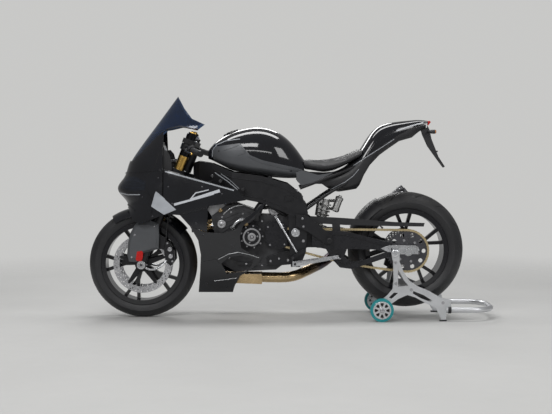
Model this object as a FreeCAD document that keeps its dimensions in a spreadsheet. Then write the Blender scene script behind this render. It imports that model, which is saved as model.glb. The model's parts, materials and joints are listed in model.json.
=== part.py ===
import FreeCAD, Part
import math
import os
import re
import Sketcher

os.makedirs("parts", exist_ok=True)
doc = FreeCAD.newDocument("sport_bike")
sheet = doc.addObject("Spreadsheet::Sheet", "Sizes")

# Driving sizes: lengths in mm, angles in degrees. Names that end in px are places in a side view of the
# bike, counted in picture points, and names that end in share are fractions of the size they follow.
SIZES = [
    ("wheelbase", 1457, "front axle to rear axle"),
    ("overall_height", 1217, "floor to the tip of the windscreen"),
    ("stand_tail", 481, "rear axle to the end of the paddock stand's handle"),
    ("rear_lift", 57, "height of the rear tyre over the floor"),
    ("eye_distance", 6400, "side view's eye to the middle plane"),
    ("front_axle_px", 143.2, "front axle, across"),
    ("rear_axle_px", 405.4, "rear axle, across"),
    ("eye_px", 276, "eye, across"),
    ("horizon_px", 148, "eye, down"),
    ("floor_px", 317, "floor at the middle plane, down"),
    ("tip_px", 98, "windscreen tip, down"),
    ("rake", 21.5, "steering axis from the upright, nose down on the stand"),
    ("fork_offset", 30, "fork legs ahead of the steering axis"),
    ("fork_spread", 105, "middle plane to each fork leg"),
    ("running_gap", 0.05, "radial gap of a running fit"),
    ("skin", 3, "wall of the body panels"),
    ("overrun", 60, "how far a cutter runs past the piece"),
    ("air_gap", 5, "air round a moving piece"),
    ("seam", 1, "gap between panels"),
    ("rim_seat_radius", 216, "17 inch bead seat"),
    ("rim_flange_radius", 228, "outer edge of the rim flange"),
    ("rim_inner_radius", 203, "inside of the rim barrel"),
    ("rim_flange", 6, "thickness of the rim flange"),
    ("front_tyre_radius", 300, "120/70-17"),
    ("front_tyre_half", 60, "half of the front tyre's width"),
    ("front_rim_half", 50, "middle plane to the front rim flange"),
    ("rear_tyre_radius", 320, "190/55-17"),
    ("rear_tyre_half", 95, "half of the rear tyre's width"),
    ("rear_rim_half", 80, "middle plane to the rear rim flange"),
    ("tyre_crown", 38, "crown height of the front tyre"),
    ("rear_tyre_crown", 56, "crown height of the rear tyre"),
    ("tyre_bulge", 16, "bead edge to the lowest widest point of the tyre"),
    ("hub_radius", 34, "wheel hub"),
    ("hub_bore", 12.5, "front axle radius"),
    ("rear_axle_radius", 14, "rear axle"),
    ("front_hub_half", 52, "half of the front hub"),
    ("rear_hub_half", 84, "half of the rear hub"),
    ("spoke_half", 15, "half thickness of a spoke"),
    ("spoke_width", 20, "width of one spoke leg at the rim"),
    ("disc_radius", 160, "front brake disc"),
    ("disc_band", 34, "swept band of the front disc"),
    ("disc_side", 62, "middle plane to the inner face of the front disc"),
    ("disc_wall", 5, "thickness of a brake disc"),
    ("rear_disc_radius", 110, "rear brake disc"),
    ("sprocket_radius", 113.8, "pitch radius of the rear sprocket"),
    ("drive_radius", 43.2, "pitch radius of the front sprocket"),
    ("roller_radius", 5.1, "chain roller"),
    ("chain_side", 113, "middle plane to the chain line"),
    ("sprocket_wall", 5.6, "thickness of a sprocket"),
    ("chain_plate", 2.2, "thickness of the chain's side plates"),
    ("chain_depth", 15, "height of a chain link"),
    ("chain_pitch", 15.875, "pin to pin"),
    ("chain_inner", 4.8, "chain line to the inside of the plates"),
    ("drive_x", 60, "front sprocket, along"),
    ("drive_z", 456, "front sprocket, up"),
    ("fork_tube_radius", 27.5, "upper fork tube"),
    ("fork_leg_radius", 21.5, "lower fork tube"),
    ("fork_top", 763, "front axle to the fork cap, along the leg"),
    ("fork_tube_foot", 330, "front axle to the lower end of the upper tube"),
    ("yoke_low", 548, "front axle to the lower yoke"),
    ("yoke_high", 722, "front axle to the upper yoke"),
    ("yoke_depth", 26, "thickness of a yoke"),
    ("stem_radius", 14, "steering stem"),
    ("head_radius", 32, "frame's steering head"),
    ("clip_low", 672, "front axle to the handlebar clamp"),
    ("clip_depth", 34, "height of the handlebar clamp"),
    ("bar_radius", 11, "handlebar"),
    ("grip_radius", 16.5, "grip"),
    ("grip_length", 120, "grip"),
    ("bar_half", 355, "middle plane to the bar end"),
    ("bar_sweep", 90, "bar end behind the clamp"),
    ("bar_drop", 34, "bar end below the clamp"),
    ("pivot_x", -25, "swingarm pivot, along"),
    ("pivot_z", 476, "swingarm pivot, up"),
    ("pivot_radius", 18, "swingarm pivot boss"),
    ("arm_inner", 128, "middle plane to the inside of the swingarm beam"),
    ("arm_wall", 32, "width of the swingarm beam"),
    ("stand_side", 178, "middle plane to the stand's side plate"),
    ("stand_wall", 8, "stand side plate"),
    ("stand_tube_radius", 15, "stand handle tube"),
    ("stand_tube_z", 60, "stand handle, up"),
    ("stand_wheel_radius", 63, "stand wheel"),
    ("stand_wheel_side", 206, "middle plane to the stand wheel"),
    ("stand_wheel_wall", 28, "width of the stand wheel"),
    ("stand_wheel_x", -492, "stand wheel, along"),
    ("stand_axle_radius", 8, "stand wheel axle"),
    ("spool_radius", 15, "lift spool on the swingarm"),
    ("spool_x", -564, "lift spool, along"),
    ("spool_z", 370, "lift spool, up"),
    ("side_stand_x", -22, "side stand pivot, along"),
    ("side_stand_z", 310, "side stand pivot, up"),
    ("side_stand_side", 176, "middle plane to the side stand"),
    ("side_stand_wall", 14, "thickness of the side stand leg"),
    ("nose_half", 200, "half width of the nose"),
    ("flank_half", 225, "half width over the side panels"),
    ("screen_side", 40, "side of the windscreen's outline"),
    ("nose_side", 150, "side of the nose's outline"),
    ("flank_side", 200, "side of the side panels' outlines"),
    ("winglet_depth", 14, "winglet out from the panel"),
    ("tank_half", 150, "half width of the tank"),
    ("tail_half", 125, "half width of the tail"),
    ("frame_half", 155, "half width over the frame"),
    ("engine_half", 165, "half width of the cylinders"),
    ("cover_radius", 65, "alternator cover"),
    ("cover_reach", 86, "alternator cover out from the crankcase"),
    ("header_radius", 19, "exhaust header"),
    ("muffler_radius", 52, "silencer"),
    ("muffler_side", 218, "middle plane to the silencer"),
    ("damper_radius", 24, "rear shock body"),
    ("rail_radius", 9, "subframe rail"),
    ("hose_radius", 3.5, "brake hose"),
    ("rest_side", 172, "middle plane to the footrest hanger"),
    ("fender_seat", 276, "front axle to the fender's boss, along the leg"),
    ("hugger_ahead", 84, "rear hugger's reach ahead of the axle"),
    ("hugger_start", 30, "rear end of the hugger ahead of the axle"),
    ("rear_disc_side", 108, "middle plane to the rear disc"),
    ("chain_sag", 22, "sag of the lower chain run"),
    ("fender_ahead", 33, "front fender's reach ahead of the axle"),
    ("fender_behind", 52, "front fender's reach behind the axle"),
]

# Sizes worked out from the ones above.
DERIVED = [
    ("px_x", "=wheelbase / (rear_axle_px - front_axle_px)"),
    ("px_z", "=overall_height / (floor_px - tip_px)"),
    ("front_axle_x", "=(wheelbase + stand_tail - front_tyre_radius) / 2"),
    ("front_axle_z", "=front_tyre_radius"),
    ("rear_axle_x", "=front_axle_x - wheelbase"),
    ("rear_axle_z", "=rear_tyre_radius + rear_lift"),
    ("eye_x", "=rear_axle_x + (rear_axle_px - eye_px) * px_x"),
    ("eye_z", "=(floor_px - horizon_px) * px_z"),
    ("rake_sin", "=sin(rake)"),
    ("rake_cos", "=cos(rake)"),
    ("steer_x", "=front_axle_x - fork_offset * rake_cos"),
    ("steer_z", "=front_axle_z - fork_offset * rake_sin"),
]

# Shares of the form: how far a tube's bend starts before its corner, how narrow a chain plate is between its
# pins and how thin the gap under a cover is. A hull's rings have this many points.
REACH_SHARE = 0.45
WAIST_SHARE = 0.72
SLIM_SHARE = 0.3
RING_POINTS = 16

for row, (alias, value, note) in enumerate(SIZES, 1):
    sheet.set(f"A{row}", note)
    sheet.set(f"B{row}", str(value))
    sheet.setAlias(f"B{row}", alias)
for row, (alias, formula) in enumerate(DERIVED, len(SIZES) + 1):
    sheet.set(f"B{row}", formula)
    sheet.setAlias(f"B{row}", alias)
doc.recompute()

ALIASES = {line[0] for line in SIZES + DERIVED}
Vector = FreeCAD.Vector
MIDDLE = Vector()
AHEAD = Vector(1, 0, 0)
ACROSS = Vector(0, 1, 0)
UPWARD = Vector(0, 0, 1)
NODES = []


def rule(text):
    """A formula with every size name pointed at the sheet."""
    text = str(text)
    return re.sub(r"[a-z]\w*", lambda word: "Sizes." + word[0] if word[0] in ALIASES else word[0], text)


def worth(text):
    """The number a formula stands for."""
    return float(sheet.evalExpression(rule(text)))


def bind(item, **formulas):
    """Tie an object's properties to formulas of the sheet."""
    for target, text in formulas.items():
        item.setExpression(target, rule(text))


def put(item, x=0, y=0, z=0):
    """Tie an object's place to formulas of the sheet."""
    item.setExpression("Placement.Base.x", rule(x))
    item.setExpression("Placement.Base.y", rule(y))
    item.setExpression("Placement.Base.z", rule(z))
    return item


def node(item, label):
    """Make an object one of the sub-parts."""
    item.Label = label
    NODES.append(item)
    return item


def box(name, start, size):
    """A block from its low corner."""
    item = doc.addObject("Part::Box", name)
    bind(item, Length=size[0], Width=size[1], Height=size[2])
    return put(item, *start)


def rod(name, radius, length, start, axis=ACROSS, turn=0):
    """A round bar from the middle of its near end, along an axis tilted by turn about the cross axis."""
    item = doc.addObject("Part::Cylinder", name)
    bind(item, Radius=radius, Height=length)
    aim = FreeCAD.Rotation(ACROSS, turn).multiply(FreeCAD.Rotation(UPWARD, axis))
    item.Placement = FreeCAD.Placement(MIDDLE, aim)
    return put(item, *start)


def less(name, base, *tools):
    """A piece with other pieces cut out of it."""
    tool = tools[0] if len(tools) == 1 else join(name + "_tools", *tools)
    item = doc.addObject("Part::Cut", name)
    item.Base = base
    item.Tool = tool
    return item


def join(name, *pieces):
    """Pieces fused into one."""
    item = doc.addObject("Part::MultiFuse", name)
    item.Shapes = list(pieces)
    item.Refine = True
    return item


def group(name, *pieces):
    """Separate pieces carried as one."""
    item = doc.addObject("Part::Compound", name)
    item.Links = list(pieces)
    return item


def mirror(name, piece):
    """The piece's twin on the other side of the middle plane."""
    item = doc.addObject("Part::Mirroring", name)
    item.Source = piece
    item.Normal = ACROSS
    return item


def pair(name, piece):
    """A piece and its twin on the other side."""
    return group(name, piece, mirror(name + "_twin", piece))


def shaped(name, shape):
    """A piece whose shape is worked out from the sheet's sizes."""
    item = doc.addObject("Part::Feature", name)
    item.Shape = shape
    item.Placement = FreeCAD.Placement()
    return item


def spot_rules(px, py, side=0):
    """Formulas for the place, along and up, of a side-view point on a plane at a given side."""
    depth = f"(1 - ({side}) / eye_distance)"
    return (f"(eye_x + (eye_px - {px}) * px_x * {depth})", f"(eye_z + (horizon_px - {py}) * px_z * {depth})")


def spot(px, py, side=0):
    """The same place as numbers."""
    depth = 1 - side / sheet.eye_distance
    x = sheet.eye_x + (sheet.eye_px - px) * sheet.px_x * depth
    z = sheet.eye_z + (sheet.horizon_px - py) * sheet.px_z * depth
    return Vector(x, side, z)


def body(name):
    """An empty body."""
    item = doc.addObject("PartDesign::Body", name)
    item.AllowCompound = True
    return item


def sketch(owner, role, outlines, name):
    """Closed outlines on one of the body's own planes. A corner is two formulas; a corner that begins
    with two more formulas ends an arc through that place."""
    item = owner.newObject("Sketcher::SketchObject", name)
    plane = next(one for one in owner.Origin.OriginFeatures if one.Role == role)
    item.AttachmentSupport = (plane, [""])
    item.MapMode = "FlatFace"
    held = []
    for outline in outlines:
        corners = [corner[-2:] for corner in outline]
        first = item.GeometryCount
        ends = []
        for place, corner in enumerate(outline):
            start = Vector(worth(corners[place - 1][0]), worth(corners[place - 1][1]), 0)
            end = Vector(worth(corner[-2]), worth(corner[-1]), 0)
            if len(corner) == 2:
                item.addGeometry(Part.LineSegment(start, end), False)
                ends.append(2)
                continue
            through = Vector(worth(corner[0]), worth(corner[1]), 0)
            leftward = (through - start).cross(end - through).z > 0
            low, high = (start, end) if leftward else (end, start)
            item.addGeometry(Part.Arc(low, through, high), False)
            ends.append(2 if leftward else 1)
        for place, corner in enumerate(outline):
            follower = (place + 1) % len(outline)
            item.addConstraint(Sketcher.Constraint("Coincident", first + place, ends[place],
                                                   first + follower, 3 - ends[follower]))
            held.append((first + place, ends[place], corner[-2], corner[-1]))
        for place, corner in enumerate(outline):
            if len(corner) == 4:
                through = Vector(worth(corner[0]), worth(corner[1]), 0)
                point = item.addGeometry(Part.Point(through), True)
                item.addConstraint(Sketcher.Constraint("PointOnObject", point, 1, first + place))
                held.append((point, 1, corner[0], corner[1]))
    for edge, end, across, up in held:
        for kind, text in (("DistanceX", across), ("DistanceY", up)):
            number = item.addConstraint(Sketcher.Constraint(kind, -1, 1, edge, end, worth(text)))
            item.setExpression(f"Constraints[{number}]", rule(text))
    return item


def pad(owner, outline, thickness):
    """Thicken a sketch to both sides of its plane."""
    item = owner.newObject("PartDesign::Pad", outline.Name + "_pad")
    item.Profile = outline
    item.Midplane = True
    bind(item, Length=thickness)
    owner.Tip = item
    return item


def pocket(owner, outline, depth):
    """Cut a sketch through to both sides of its plane."""
    item = owner.newObject("PartDesign::Pocket", outline.Name + "_pocket")
    item.Profile = outline
    item.Midplane = True
    bind(item, Length=depth)
    owner.Tip = item
    return item


def turned(owner, outline, angle=360):
    """Turn a sketch round the body's cross axis."""
    item = owner.newObject("PartDesign::Revolution", outline.Name + "_turned")
    item.Profile = outline
    item.ReferenceAxis = (outline, ["V_Axis"])
    bind(item, Angle=angle)
    owner.Tip = item
    return item


def around(owner, features, count):
    """Repeat features round the body's cross axis."""
    item = owner.newObject("PartDesign::PolarPattern", owner.Name + "_around")
    item.Originals = features
    axis = next(one for one in owner.Origin.OriginFeatures if one.Role == "Y_Axis")
    item.Axis = (axis, [""])
    item.Angle = 360
    item.Occurrences = count
    owner.Tip = item
    return item


def circle(across, up, radius):
    """Round outline for a sketch."""
    return [(f"{across}", f"{up} + {radius}", f"{across} - {radius}", f"{up}"),
            (f"{across}", f"{up} - {radius}", f"{across} + {radius}", f"{up}")]


def block(low, high, near, far):
    """Outline of a rectangle for a sketch, turned round the cross axis as a ring."""
    return [(low, near), (high, near), (high, far), (low, far)]


def plate(name, points, side, thickness, holes=()):
    """A flat plate with a side-view outline, standing at one side of the middle plane."""
    item = body(name)
    outlines = [[spot_rules(px, py, side) for px, py in outline] for outline in (points, *holes)]
    pad(item, sketch(item, "XZ_Plane", outlines, name + "_outline"), thickness)
    return put(item, 0, side, 0)


def path(points):
    """Straight runs joined by tangent arcs, each arc as large as its two runs allow."""
    edges = []
    last = points[0]
    for before, corner, after in zip(points, points[1:], points[2:]):
        inward = (before - corner).normalize()
        outward = (after - corner).normalize()
        reach = min(before.distanceToPoint(corner), after.distanceToPoint(corner)) * REACH_SHARE
        half = (math.pi - inward.getAngle(outward)) / 2
        start = corner + inward * reach
        end = corner + outward * reach
        radius = reach / math.tan(half)
        print(f"bend radius {radius:.0f} mm")
        middle = (inward + outward).normalize()
        through = corner + middle * (radius / math.cos(half) - radius)
        if last.distanceToPoint(start) > sheet.running_gap:
            edges.append(Part.LineSegment(last, start).toShape())
        edges.append(Part.Arc(start, through, end).toShape())
        last = end
    edges.append(Part.LineSegment(last, points[-1]).toShape())
    return Part.Wire(edges)


def tube(points, radius):
    """Round bar along a path."""
    line = path(points) if len(points) > 2 else Part.Wire([Part.LineSegment(*points).toShape()])
    end = Part.Wire([Part.Circle(points[0], points[1] - points[0], radius).toShape()])
    return line.makePipeShell([end], True, False)


def closed_curve(points):
    """Smooth closed curve through points."""
    curve = Part.BSplineCurve()
    steps = [place / len(points) for place in range(len(points) + 1)]
    curve.interpolate(Points=points, PeriodicFlag=True, Parameters=steps)
    return Part.Wire([curve.toShape()])


def oval(power):
    """Places round a squared circle of half size one; a higher power is squarer."""
    turns = [2 * math.pi * (place + 0.5) / RING_POINTS for place in range(RING_POINTS)]
    return [(math.copysign(abs(math.cos(turn)) ** (2 / power), math.cos(turn)),
             math.copysign(abs(math.sin(turn)) ** (2 / power), math.sin(turn))) for turn in turns]


def level_ring(z, front, widest, back, half, power):
    """Plan outline at one height, nose forward."""
    points = []
    for along, across in oval(power):
        reach = front - widest if along > 0 else widest - back
        points.append(Vector(widest + reach * along, half * across, z))
    return closed_curve(points)


def cross_ring(x, bottom, top, half, power, belly_share=0.5):
    """Cross outline at one place along the bike; the widest point sits at a share of its height."""
    waist = bottom + (top - bottom) * belly_share
    points = []
    for across, up in oval(power):
        reach = top - waist if up > 0 else waist - bottom
        points.append(Vector(x, half * across, waist + reach * up))
    return closed_curve(points)


def hull(rings, ruled=False):
    """Solid through a row of closed outlines."""
    return Part.makeLoft(rings, True, ruled)


def prism(points, side, near, far):
    """Block with a side-view outline drawn on the plane at side, from near to far across the bike."""
    corners = [spot(px, py, side) for px, py in points]
    corners = [Vector(corner.x, near, corner.z) for corner in corners]
    face = Part.Face(Part.makePolygon(corners + corners[:1]))
    return face.extrude(ACROSS * (far - near))


def both_sides(shape):
    """A shape and its twin on the other side."""
    return Part.makeCompound([shape, shape.mirror(MIDDLE, ACROSS)])


def solids(shape):
    """The solids of a shape, without empty leftovers."""
    found = [solid for solid in shape.Solids if solid.Volume > sheet.skin ** 3]
    return found[0] if len(found) == 1 else Part.makeCompound(found)


# Wheels. The outline of a tyre runs over the seat, up the flange, out to the sidewall and over the crown.
def tyre(name, radius, half, rim_half, crown, x, z):
    item = body(name)
    side = f"{radius} - {crown}"
    bulge = "rim_flange_radius + tyre_bulge"
    outline = [("rim_seat_radius", f"-{rim_half}"), ("rim_seat_radius", rim_half),
               ("rim_flange_radius + running_gap", rim_half),
               (bulge, f"({half} * 0.6 + {rim_half} * 0.4)", side, half),
               (radius, "0", side, f"-{half}"),
               (bulge, f"-({half} * 0.6 + {rim_half} * 0.4)", "rim_flange_radius + running_gap",
                f"-{rim_half}")]
    turned(item, sketch(item, "XY_Plane", [outline], name + "_section"))
    put(item, x, 0, z)
    return node(item, name)


def rim(name, rim_half, hub_half, bore, first_angle, x, z):
    item = body(name)
    edge = f"({rim_half} + rim_flange)"
    outline = [("rim_inner_radius", f"-{edge}"), ("rim_flange_radius", f"-{edge}"),
               ("rim_flange_radius", f"-{rim_half}"), ("rim_seat_radius", f"-{rim_half}"),
               ("rim_seat_radius", rim_half), ("rim_flange_radius", rim_half),
               ("rim_flange_radius", edge), ("rim_inner_radius", edge)]
    turned(item, sketch(item, "XY_Plane", [outline], name + "_barrel"))
    hub = [(f"{bore} + running_gap", f"-{hub_half}"), ("hub_radius", f"-{hub_half}"),
           ("hub_radius", hub_half), (f"{bore} + running_gap", hub_half)]
    turned(item, sketch(item, "XY_Plane", [hub], name + "_hub"))
    arms = [[("-spoke_width / 2", "hub_radius * 0.8"), ("spoke_width / 2", "hub_radius * 0.8"),
             ("spoke_width * 0.6", "rim_inner_radius * 0.48"),
             ("spoke_width * 2.5", "rim_inner_radius + air_gap"),
             ("spoke_width * 1.5", "rim_inner_radius + air_gap"),
             ("0", "rim_inner_radius * 0.58"),
             ("-spoke_width * 1.5", "rim_inner_radius + air_gap"),
             ("-spoke_width * 2.5", "rim_inner_radius + air_gap"),
             ("-spoke_width * 0.6", "rim_inner_radius * 0.48")]]
    spoke = pad(item, sketch(item, "XZ_Plane", arms, name + "_spoke"), "spoke_half * 2")
    around(item, [spoke], 5)
    item.Placement = FreeCAD.Placement(MIDDLE, FreeCAD.Rotation(ACROSS, first_angle))
    put(item, x, 0, z)
    return node(item, name)


tyre("front_tyre", "front_tyre_radius", "front_tyre_half", "front_rim_half", "tyre_crown",
     "front_axle_x", "front_axle_z")
rim("front_rim", "front_rim_half", "front_hub_half", "hub_bore", 90, "front_axle_x", "front_axle_z")
tyre("rear_tyre", "rear_tyre_radius", "rear_tyre_half", "rear_rim_half", "rear_tyre_crown",
     "rear_axle_x", "rear_axle_z")
rim("rear_rim", "rear_rim_half", "rear_hub_half", "rear_axle_radius", 3, "rear_axle_x", "rear_axle_z")


def brake_disc(name, radius, band, bore, hub_half, side):
    """Brake disc on a carrier with five arms; its own middle plane lies at side."""
    item = body(name)
    inner = f"({radius} - {band})"
    ring = block(inner, radius, "-disc_wall / 2", "disc_wall / 2")
    turned(item, sketch(item, "XY_Plane", [ring], name + "_ring"))
    hub = block(f"{bore} + running_gap", "hub_radius * 1.3", f"{hub_half} - {side}", "disc_wall / 2")
    turned(item, sketch(item, "XY_Plane", [hub], name + "_hub"))
    arm = [("hub_radius", "-hub_radius / 3"), (f"{inner} + disc_wall", "-hub_radius / 6"),
           (f"{inner} + disc_wall", "hub_radius / 6"), ("hub_radius", "hub_radius / 3")]
    around(item, [pad(item, sketch(item, "XZ_Plane", [arm], name + "_arm"), "disc_wall")], 5)
    return item


front_disc = brake_disc("front_disc", "disc_radius", "disc_band", "hub_bore", "front_hub_half", "disc_side")
put(front_disc, "front_axle_x", "disc_side", "front_axle_z")
node(pair("front_discs", front_disc), "front_discs")
rear_disc = brake_disc("rear_disc_left", "rear_disc_radius", "disc_band", "rear_axle_radius",
                       "rear_hub_half", "rear_disc_side")
put(rear_disc, "rear_axle_x", "rear_disc_side", "rear_axle_z")
node(mirror("rear_disc", rear_disc), "rear_disc")


def sprocket(name, radius, teeth, bore, hub, reach):
    """Toothed wheel: a disc with roller seats round its pitch circle, and a hub to one side."""
    item = body(name)
    blank = block(f"{bore}", f"{radius} + roller_radius * 0.7", "-sprocket_wall / 2", "sprocket_wall / 2")
    turned(item, sketch(item, "XY_Plane", [blank], name + "_blank"))
    seat = circle(radius, "0", "roller_radius * 1.05")
    around(item, [pocket(item, sketch(item, "XZ_Plane", [seat], name + "_seat"), "sprocket_wall * 2")], teeth)
    if reach:
        window = sketch(item, "XZ_Plane", [circle(f"{radius} * 0.78", "0", f"{radius} * 0.1")],
                        name + "_window")
        around(item, [pocket(item, window, "sprocket_wall * 2")], 10)
        boss = block(f"{bore}", hub, f"-{reach}", "-sprocket_wall / 2")
        turned(item, sketch(item, "XY_Plane", [boss], name + "_boss"))
    return item


rear_sprocket = sprocket("rear_sprocket", "sprocket_radius", 45, "rear_axle_radius + running_gap",
                         "hub_radius * 2.1", "(chain_side - rear_hub_half)")
node(put(rear_sprocket, "rear_axle_x", "chain_side", "rear_axle_z"), "rear_sprocket")
front_sprocket = sprocket("front_sprocket", "drive_radius", 17, "stem_radius", "stem_radius", None)
node(put(front_sprocket, "drive_x", "chain_side", "drive_z"), "front_sprocket")


# The chain is one fixed loop: two runs and the wraps round both sprockets, as two rows of side plates.
def chain_loop():
    rear = Vector(sheet.rear_axle_x, 0, sheet.rear_axle_z)
    drive = Vector(sheet.drive_x, 0, sheet.drive_z)
    heading = math.atan2(drive.z - rear.z, drive.x - rear.x)
    lean = math.acos((sheet.sprocket_radius - sheet.drive_radius) / rear.distanceToPoint(drive))

    def rim_spot(centre, radius, angle):
        return centre + Vector(math.cos(angle), 0, math.sin(angle)) * radius
    high_rear = rim_spot(rear, sheet.sprocket_radius, heading + lean)
    high_drive = rim_spot(drive, sheet.drive_radius, heading + lean)
    low_rear = rim_spot(rear, sheet.sprocket_radius, heading - lean)
    low_drive = rim_spot(drive, sheet.drive_radius, heading - lean)
    sag = (low_rear + low_drive) / 2 - UPWARD * sheet.chain_sag
    return Part.Wire([
        Part.LineSegment(high_rear, high_drive).toShape(),
        Part.Arc(high_drive, rim_spot(drive, sheet.drive_radius, heading), low_drive).toShape(),
        Part.Arc(low_drive, sag, low_rear).toShape(),
        Part.Arc(low_rear, rim_spot(rear, sheet.sprocket_radius, heading + math.pi), high_rear).toShape(),
    ])


def chain_row(pins, start):
    """Side plates on one side of the chain, wide at the pins and waisted between them."""
    contours = []
    for sign in (1, -1):
        contour = []
        for before, pin, after in zip(pins[-1:] + pins[:-1], pins, pins[1:] + pins[:1]):
            outward = (after - before).cross(ACROSS).normalize() * sheet.chain_depth / 2 * sign
            middle = (after - pin).cross(ACROSS).normalize() * sheet.chain_depth / 2 * sign
            contour += [pin + outward, (pin + after) / 2 + middle * WAIST_SHARE]
        contours.append(Part.makePolygon(contour + contour[:1]))
    row = Part.Face(contours, "Part::FaceMakerBullseye")
    row.translate(ACROSS * (sheet.chain_side + start))
    return row.extrude(ACROSS * sheet.chain_plate)


loop = chain_loop()
links = 2 * round(loop.Length / sheet.chain_pitch / 2)
pins = loop.discretize(Number=links + 1)[:-1]
rows = [chain_row(pins, start) for start in (sheet.chain_inner, -sheet.chain_inner - sheet.chain_plate)]
rear_hub = Vector(sheet.rear_axle_x, 0, sheet.rear_axle_z)
drive_hub = Vector(sheet.drive_x, 0, sheet.drive_z)
free_pins = [pin for pin in pins
             if pin.distanceToPoint(rear_hub) > sheet.sprocket_radius + sheet.chain_depth
             and pin.distanceToPoint(drive_hub) > sheet.drive_radius + sheet.chain_depth]
roller_start = ACROSS * (sheet.chain_side - sheet.chain_inner - sheet.chain_plate / 2)
rollers = [Part.makeCylinder(sheet.roller_radius, sheet.chain_inner * 2 + sheet.chain_plate,
                             pin + roller_start, ACROSS)
           for pin in free_pins[::2] + [drive_hub + AHEAD * sheet.drive_radius]]
node(shaped("drive_chain", rows[0].fuse(rows[1:] + rollers)), "drive_chain")


# Fork and steering. Distances along a leg are counted from the front axle.
def leg_spot(distance, side="fork_spread"):
    return (f"front_axle_x - ({distance}) * rake_sin", side, f"front_axle_z + ({distance}) * rake_cos")


def head_spot(distance, side="0"):
    return (f"steer_x - ({distance}) * rake_sin", side, f"steer_z + ({distance}) * rake_cos")


def leg_rod(name, radius, start, length, side="fork_spread"):
    return rod(name, radius, length, leg_spot(start, side), UPWARD, -sheet.rake)


def head_rod(name, radius, start, length):
    return rod(name, radius, length, head_spot(start), UPWARD, -sheet.rake)


upper_tube = join("upper_tube", leg_rod("upper_tube_bar", "fork_tube_radius", "fork_tube_foot",
                                        "fork_top - fork_tube_foot"),
                  leg_rod("fork_cap", "fork_leg_radius", "fork_top", "air_gap * 2"),
                  leg_rod("fork_collar", "fork_tube_radius * 1.12", "fork_tube_foot", "yoke_depth"))
node(pair("fork_outer_tubes", upper_tube), "fork_outer_tubes")

axle_hole = rod("axle_hole", "hub_bore", "fork_spread * 2", ("front_axle_x", "0", "front_axle_z"))
caliper_lug = plate("caliper_lug", [(150, 246), (156, 233), (166, 238), (163, 250)], "fork_spread - hub_bore",
                    "hub_bore")
lower_leg = less("lower_leg", join(
    "lower_leg_whole",
    leg_rod("lower_leg_bar", "fork_leg_radius", 0, "fork_tube_foot"),
    rod("axle_clamp", "fork_leg_radius * 1.25", "fork_leg_radius * 1.8",
        ("front_axle_x", "fork_spread - fork_leg_radius", "front_axle_z")), caliper_lug), axle_hole)
fork_legs = pair("fork_legs", lower_leg)
node(fork_legs, "fork_legs")

front_axle = less("front_axle", rod("front_axle_bar", "hub_bore", "fork_spread * 2 + hub_bore * 4",
                                    ("front_axle_x", "-fork_spread - hub_bore * 2", "front_axle_z")),
                  rod("front_axle_bore", "hub_bore * 0.6", "fork_spread * 2 + hub_bore * 6",
                      ("front_axle_x", "-fork_spread - hub_bore * 3", "front_axle_z")))
node(front_axle, "front_axle")


def yoke(name, distance, ahead):
    """Clamp across both legs with the stem's seat behind them."""
    item = body(name)
    width = "fork_spread + fork_tube_radius * 1.45"
    outline = [(f"fork_tube_radius * {ahead}", f"-({width}) * 0.9"),
               ("fork_tube_radius * 0.9", "-fork_spread * 0.5"),
               ("fork_tube_radius * 0.9", "fork_spread * 0.5"),
               (f"fork_tube_radius * {ahead}", f"({width}) * 0.9"),
               ("0", width), ("-fork_tube_radius * 1.3", f"({width}) * 0.85"),
               ("-fork_offset - stem_radius * 1.8", "stem_radius * 1.8"),
               ("-fork_offset - stem_radius * 1.8", "-stem_radius * 1.8"),
               ("-fork_tube_radius * 1.3", f"-({width}) * 0.85"), ("0", f"-({width})")]
    holes = [circle("0", "fork_spread", "fork_tube_radius"), circle("0", "-fork_spread", "fork_tube_radius")]
    pad(item, sketch(item, "XY_Plane", [outline, *holes], name + "_outline"), "yoke_depth")
    item.Placement = FreeCAD.Placement(MIDDLE, FreeCAD.Rotation(ACROSS, -sheet.rake))
    return put(item, *leg_spot(distance, "0"))


triple_clamps = join("triple_clamps", yoke("lower_yoke", "yoke_low", 1.3),
                     yoke("upper_yoke", "yoke_high", 1.3),
                     head_rod("steering_stem", "stem_radius", "yoke_low", "yoke_high - yoke_low"),
                     head_rod("stem_nut", "stem_radius * 1.2", "yoke_high", "yoke_depth"))
node(triple_clamps, "triple_clamps")

front_slot = rod("front_slot", "disc_radius + air_gap", "disc_wall + air_gap * 2",
                 ("front_axle_x", "disc_side - disc_wall / 2 - air_gap", "front_axle_z"))
CALIPER_PX = [(163, 245), (165.5, 240.5), (170, 243.5), (174, 251), (174.5, 261), (171, 266), (166, 262)]
front_caliper = less("front_caliper", plate("front_caliper_block", CALIPER_PX, "disc_side + air_gap",
                                            "front_hub_half"), front_slot, caliper_lug)
front_calipers = pair("front_calipers", front_caliper)
node(front_calipers, "front_calipers")


# Front fender: a shell that follows the tyre, with side tabs to the legs.
def mudguard(name, radius, half, crown, gap, ahead, behind, skirt):
    item = body(name)
    outer = f"({radius} + {gap} + skin)"
    inner = f"({radius} + {gap})"
    side = f"({half} + {gap})"
    low = f"({radius} - {crown} * {skirt})"
    outline = [(low, f"{side} + skin"), (outer, "0", low, f"-({side} + skin)"), (low, f"-{side}"),
               (inner, "0", low, side)]
    turned(item, sketch(item, "XY_Plane", [outline], name + "_section"), f"{ahead} + {behind}")
    item.Placement = FreeCAD.Placement(MIDDLE, FreeCAD.Rotation(ACROSS, -90 - worth(behind)))
    return item


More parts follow.
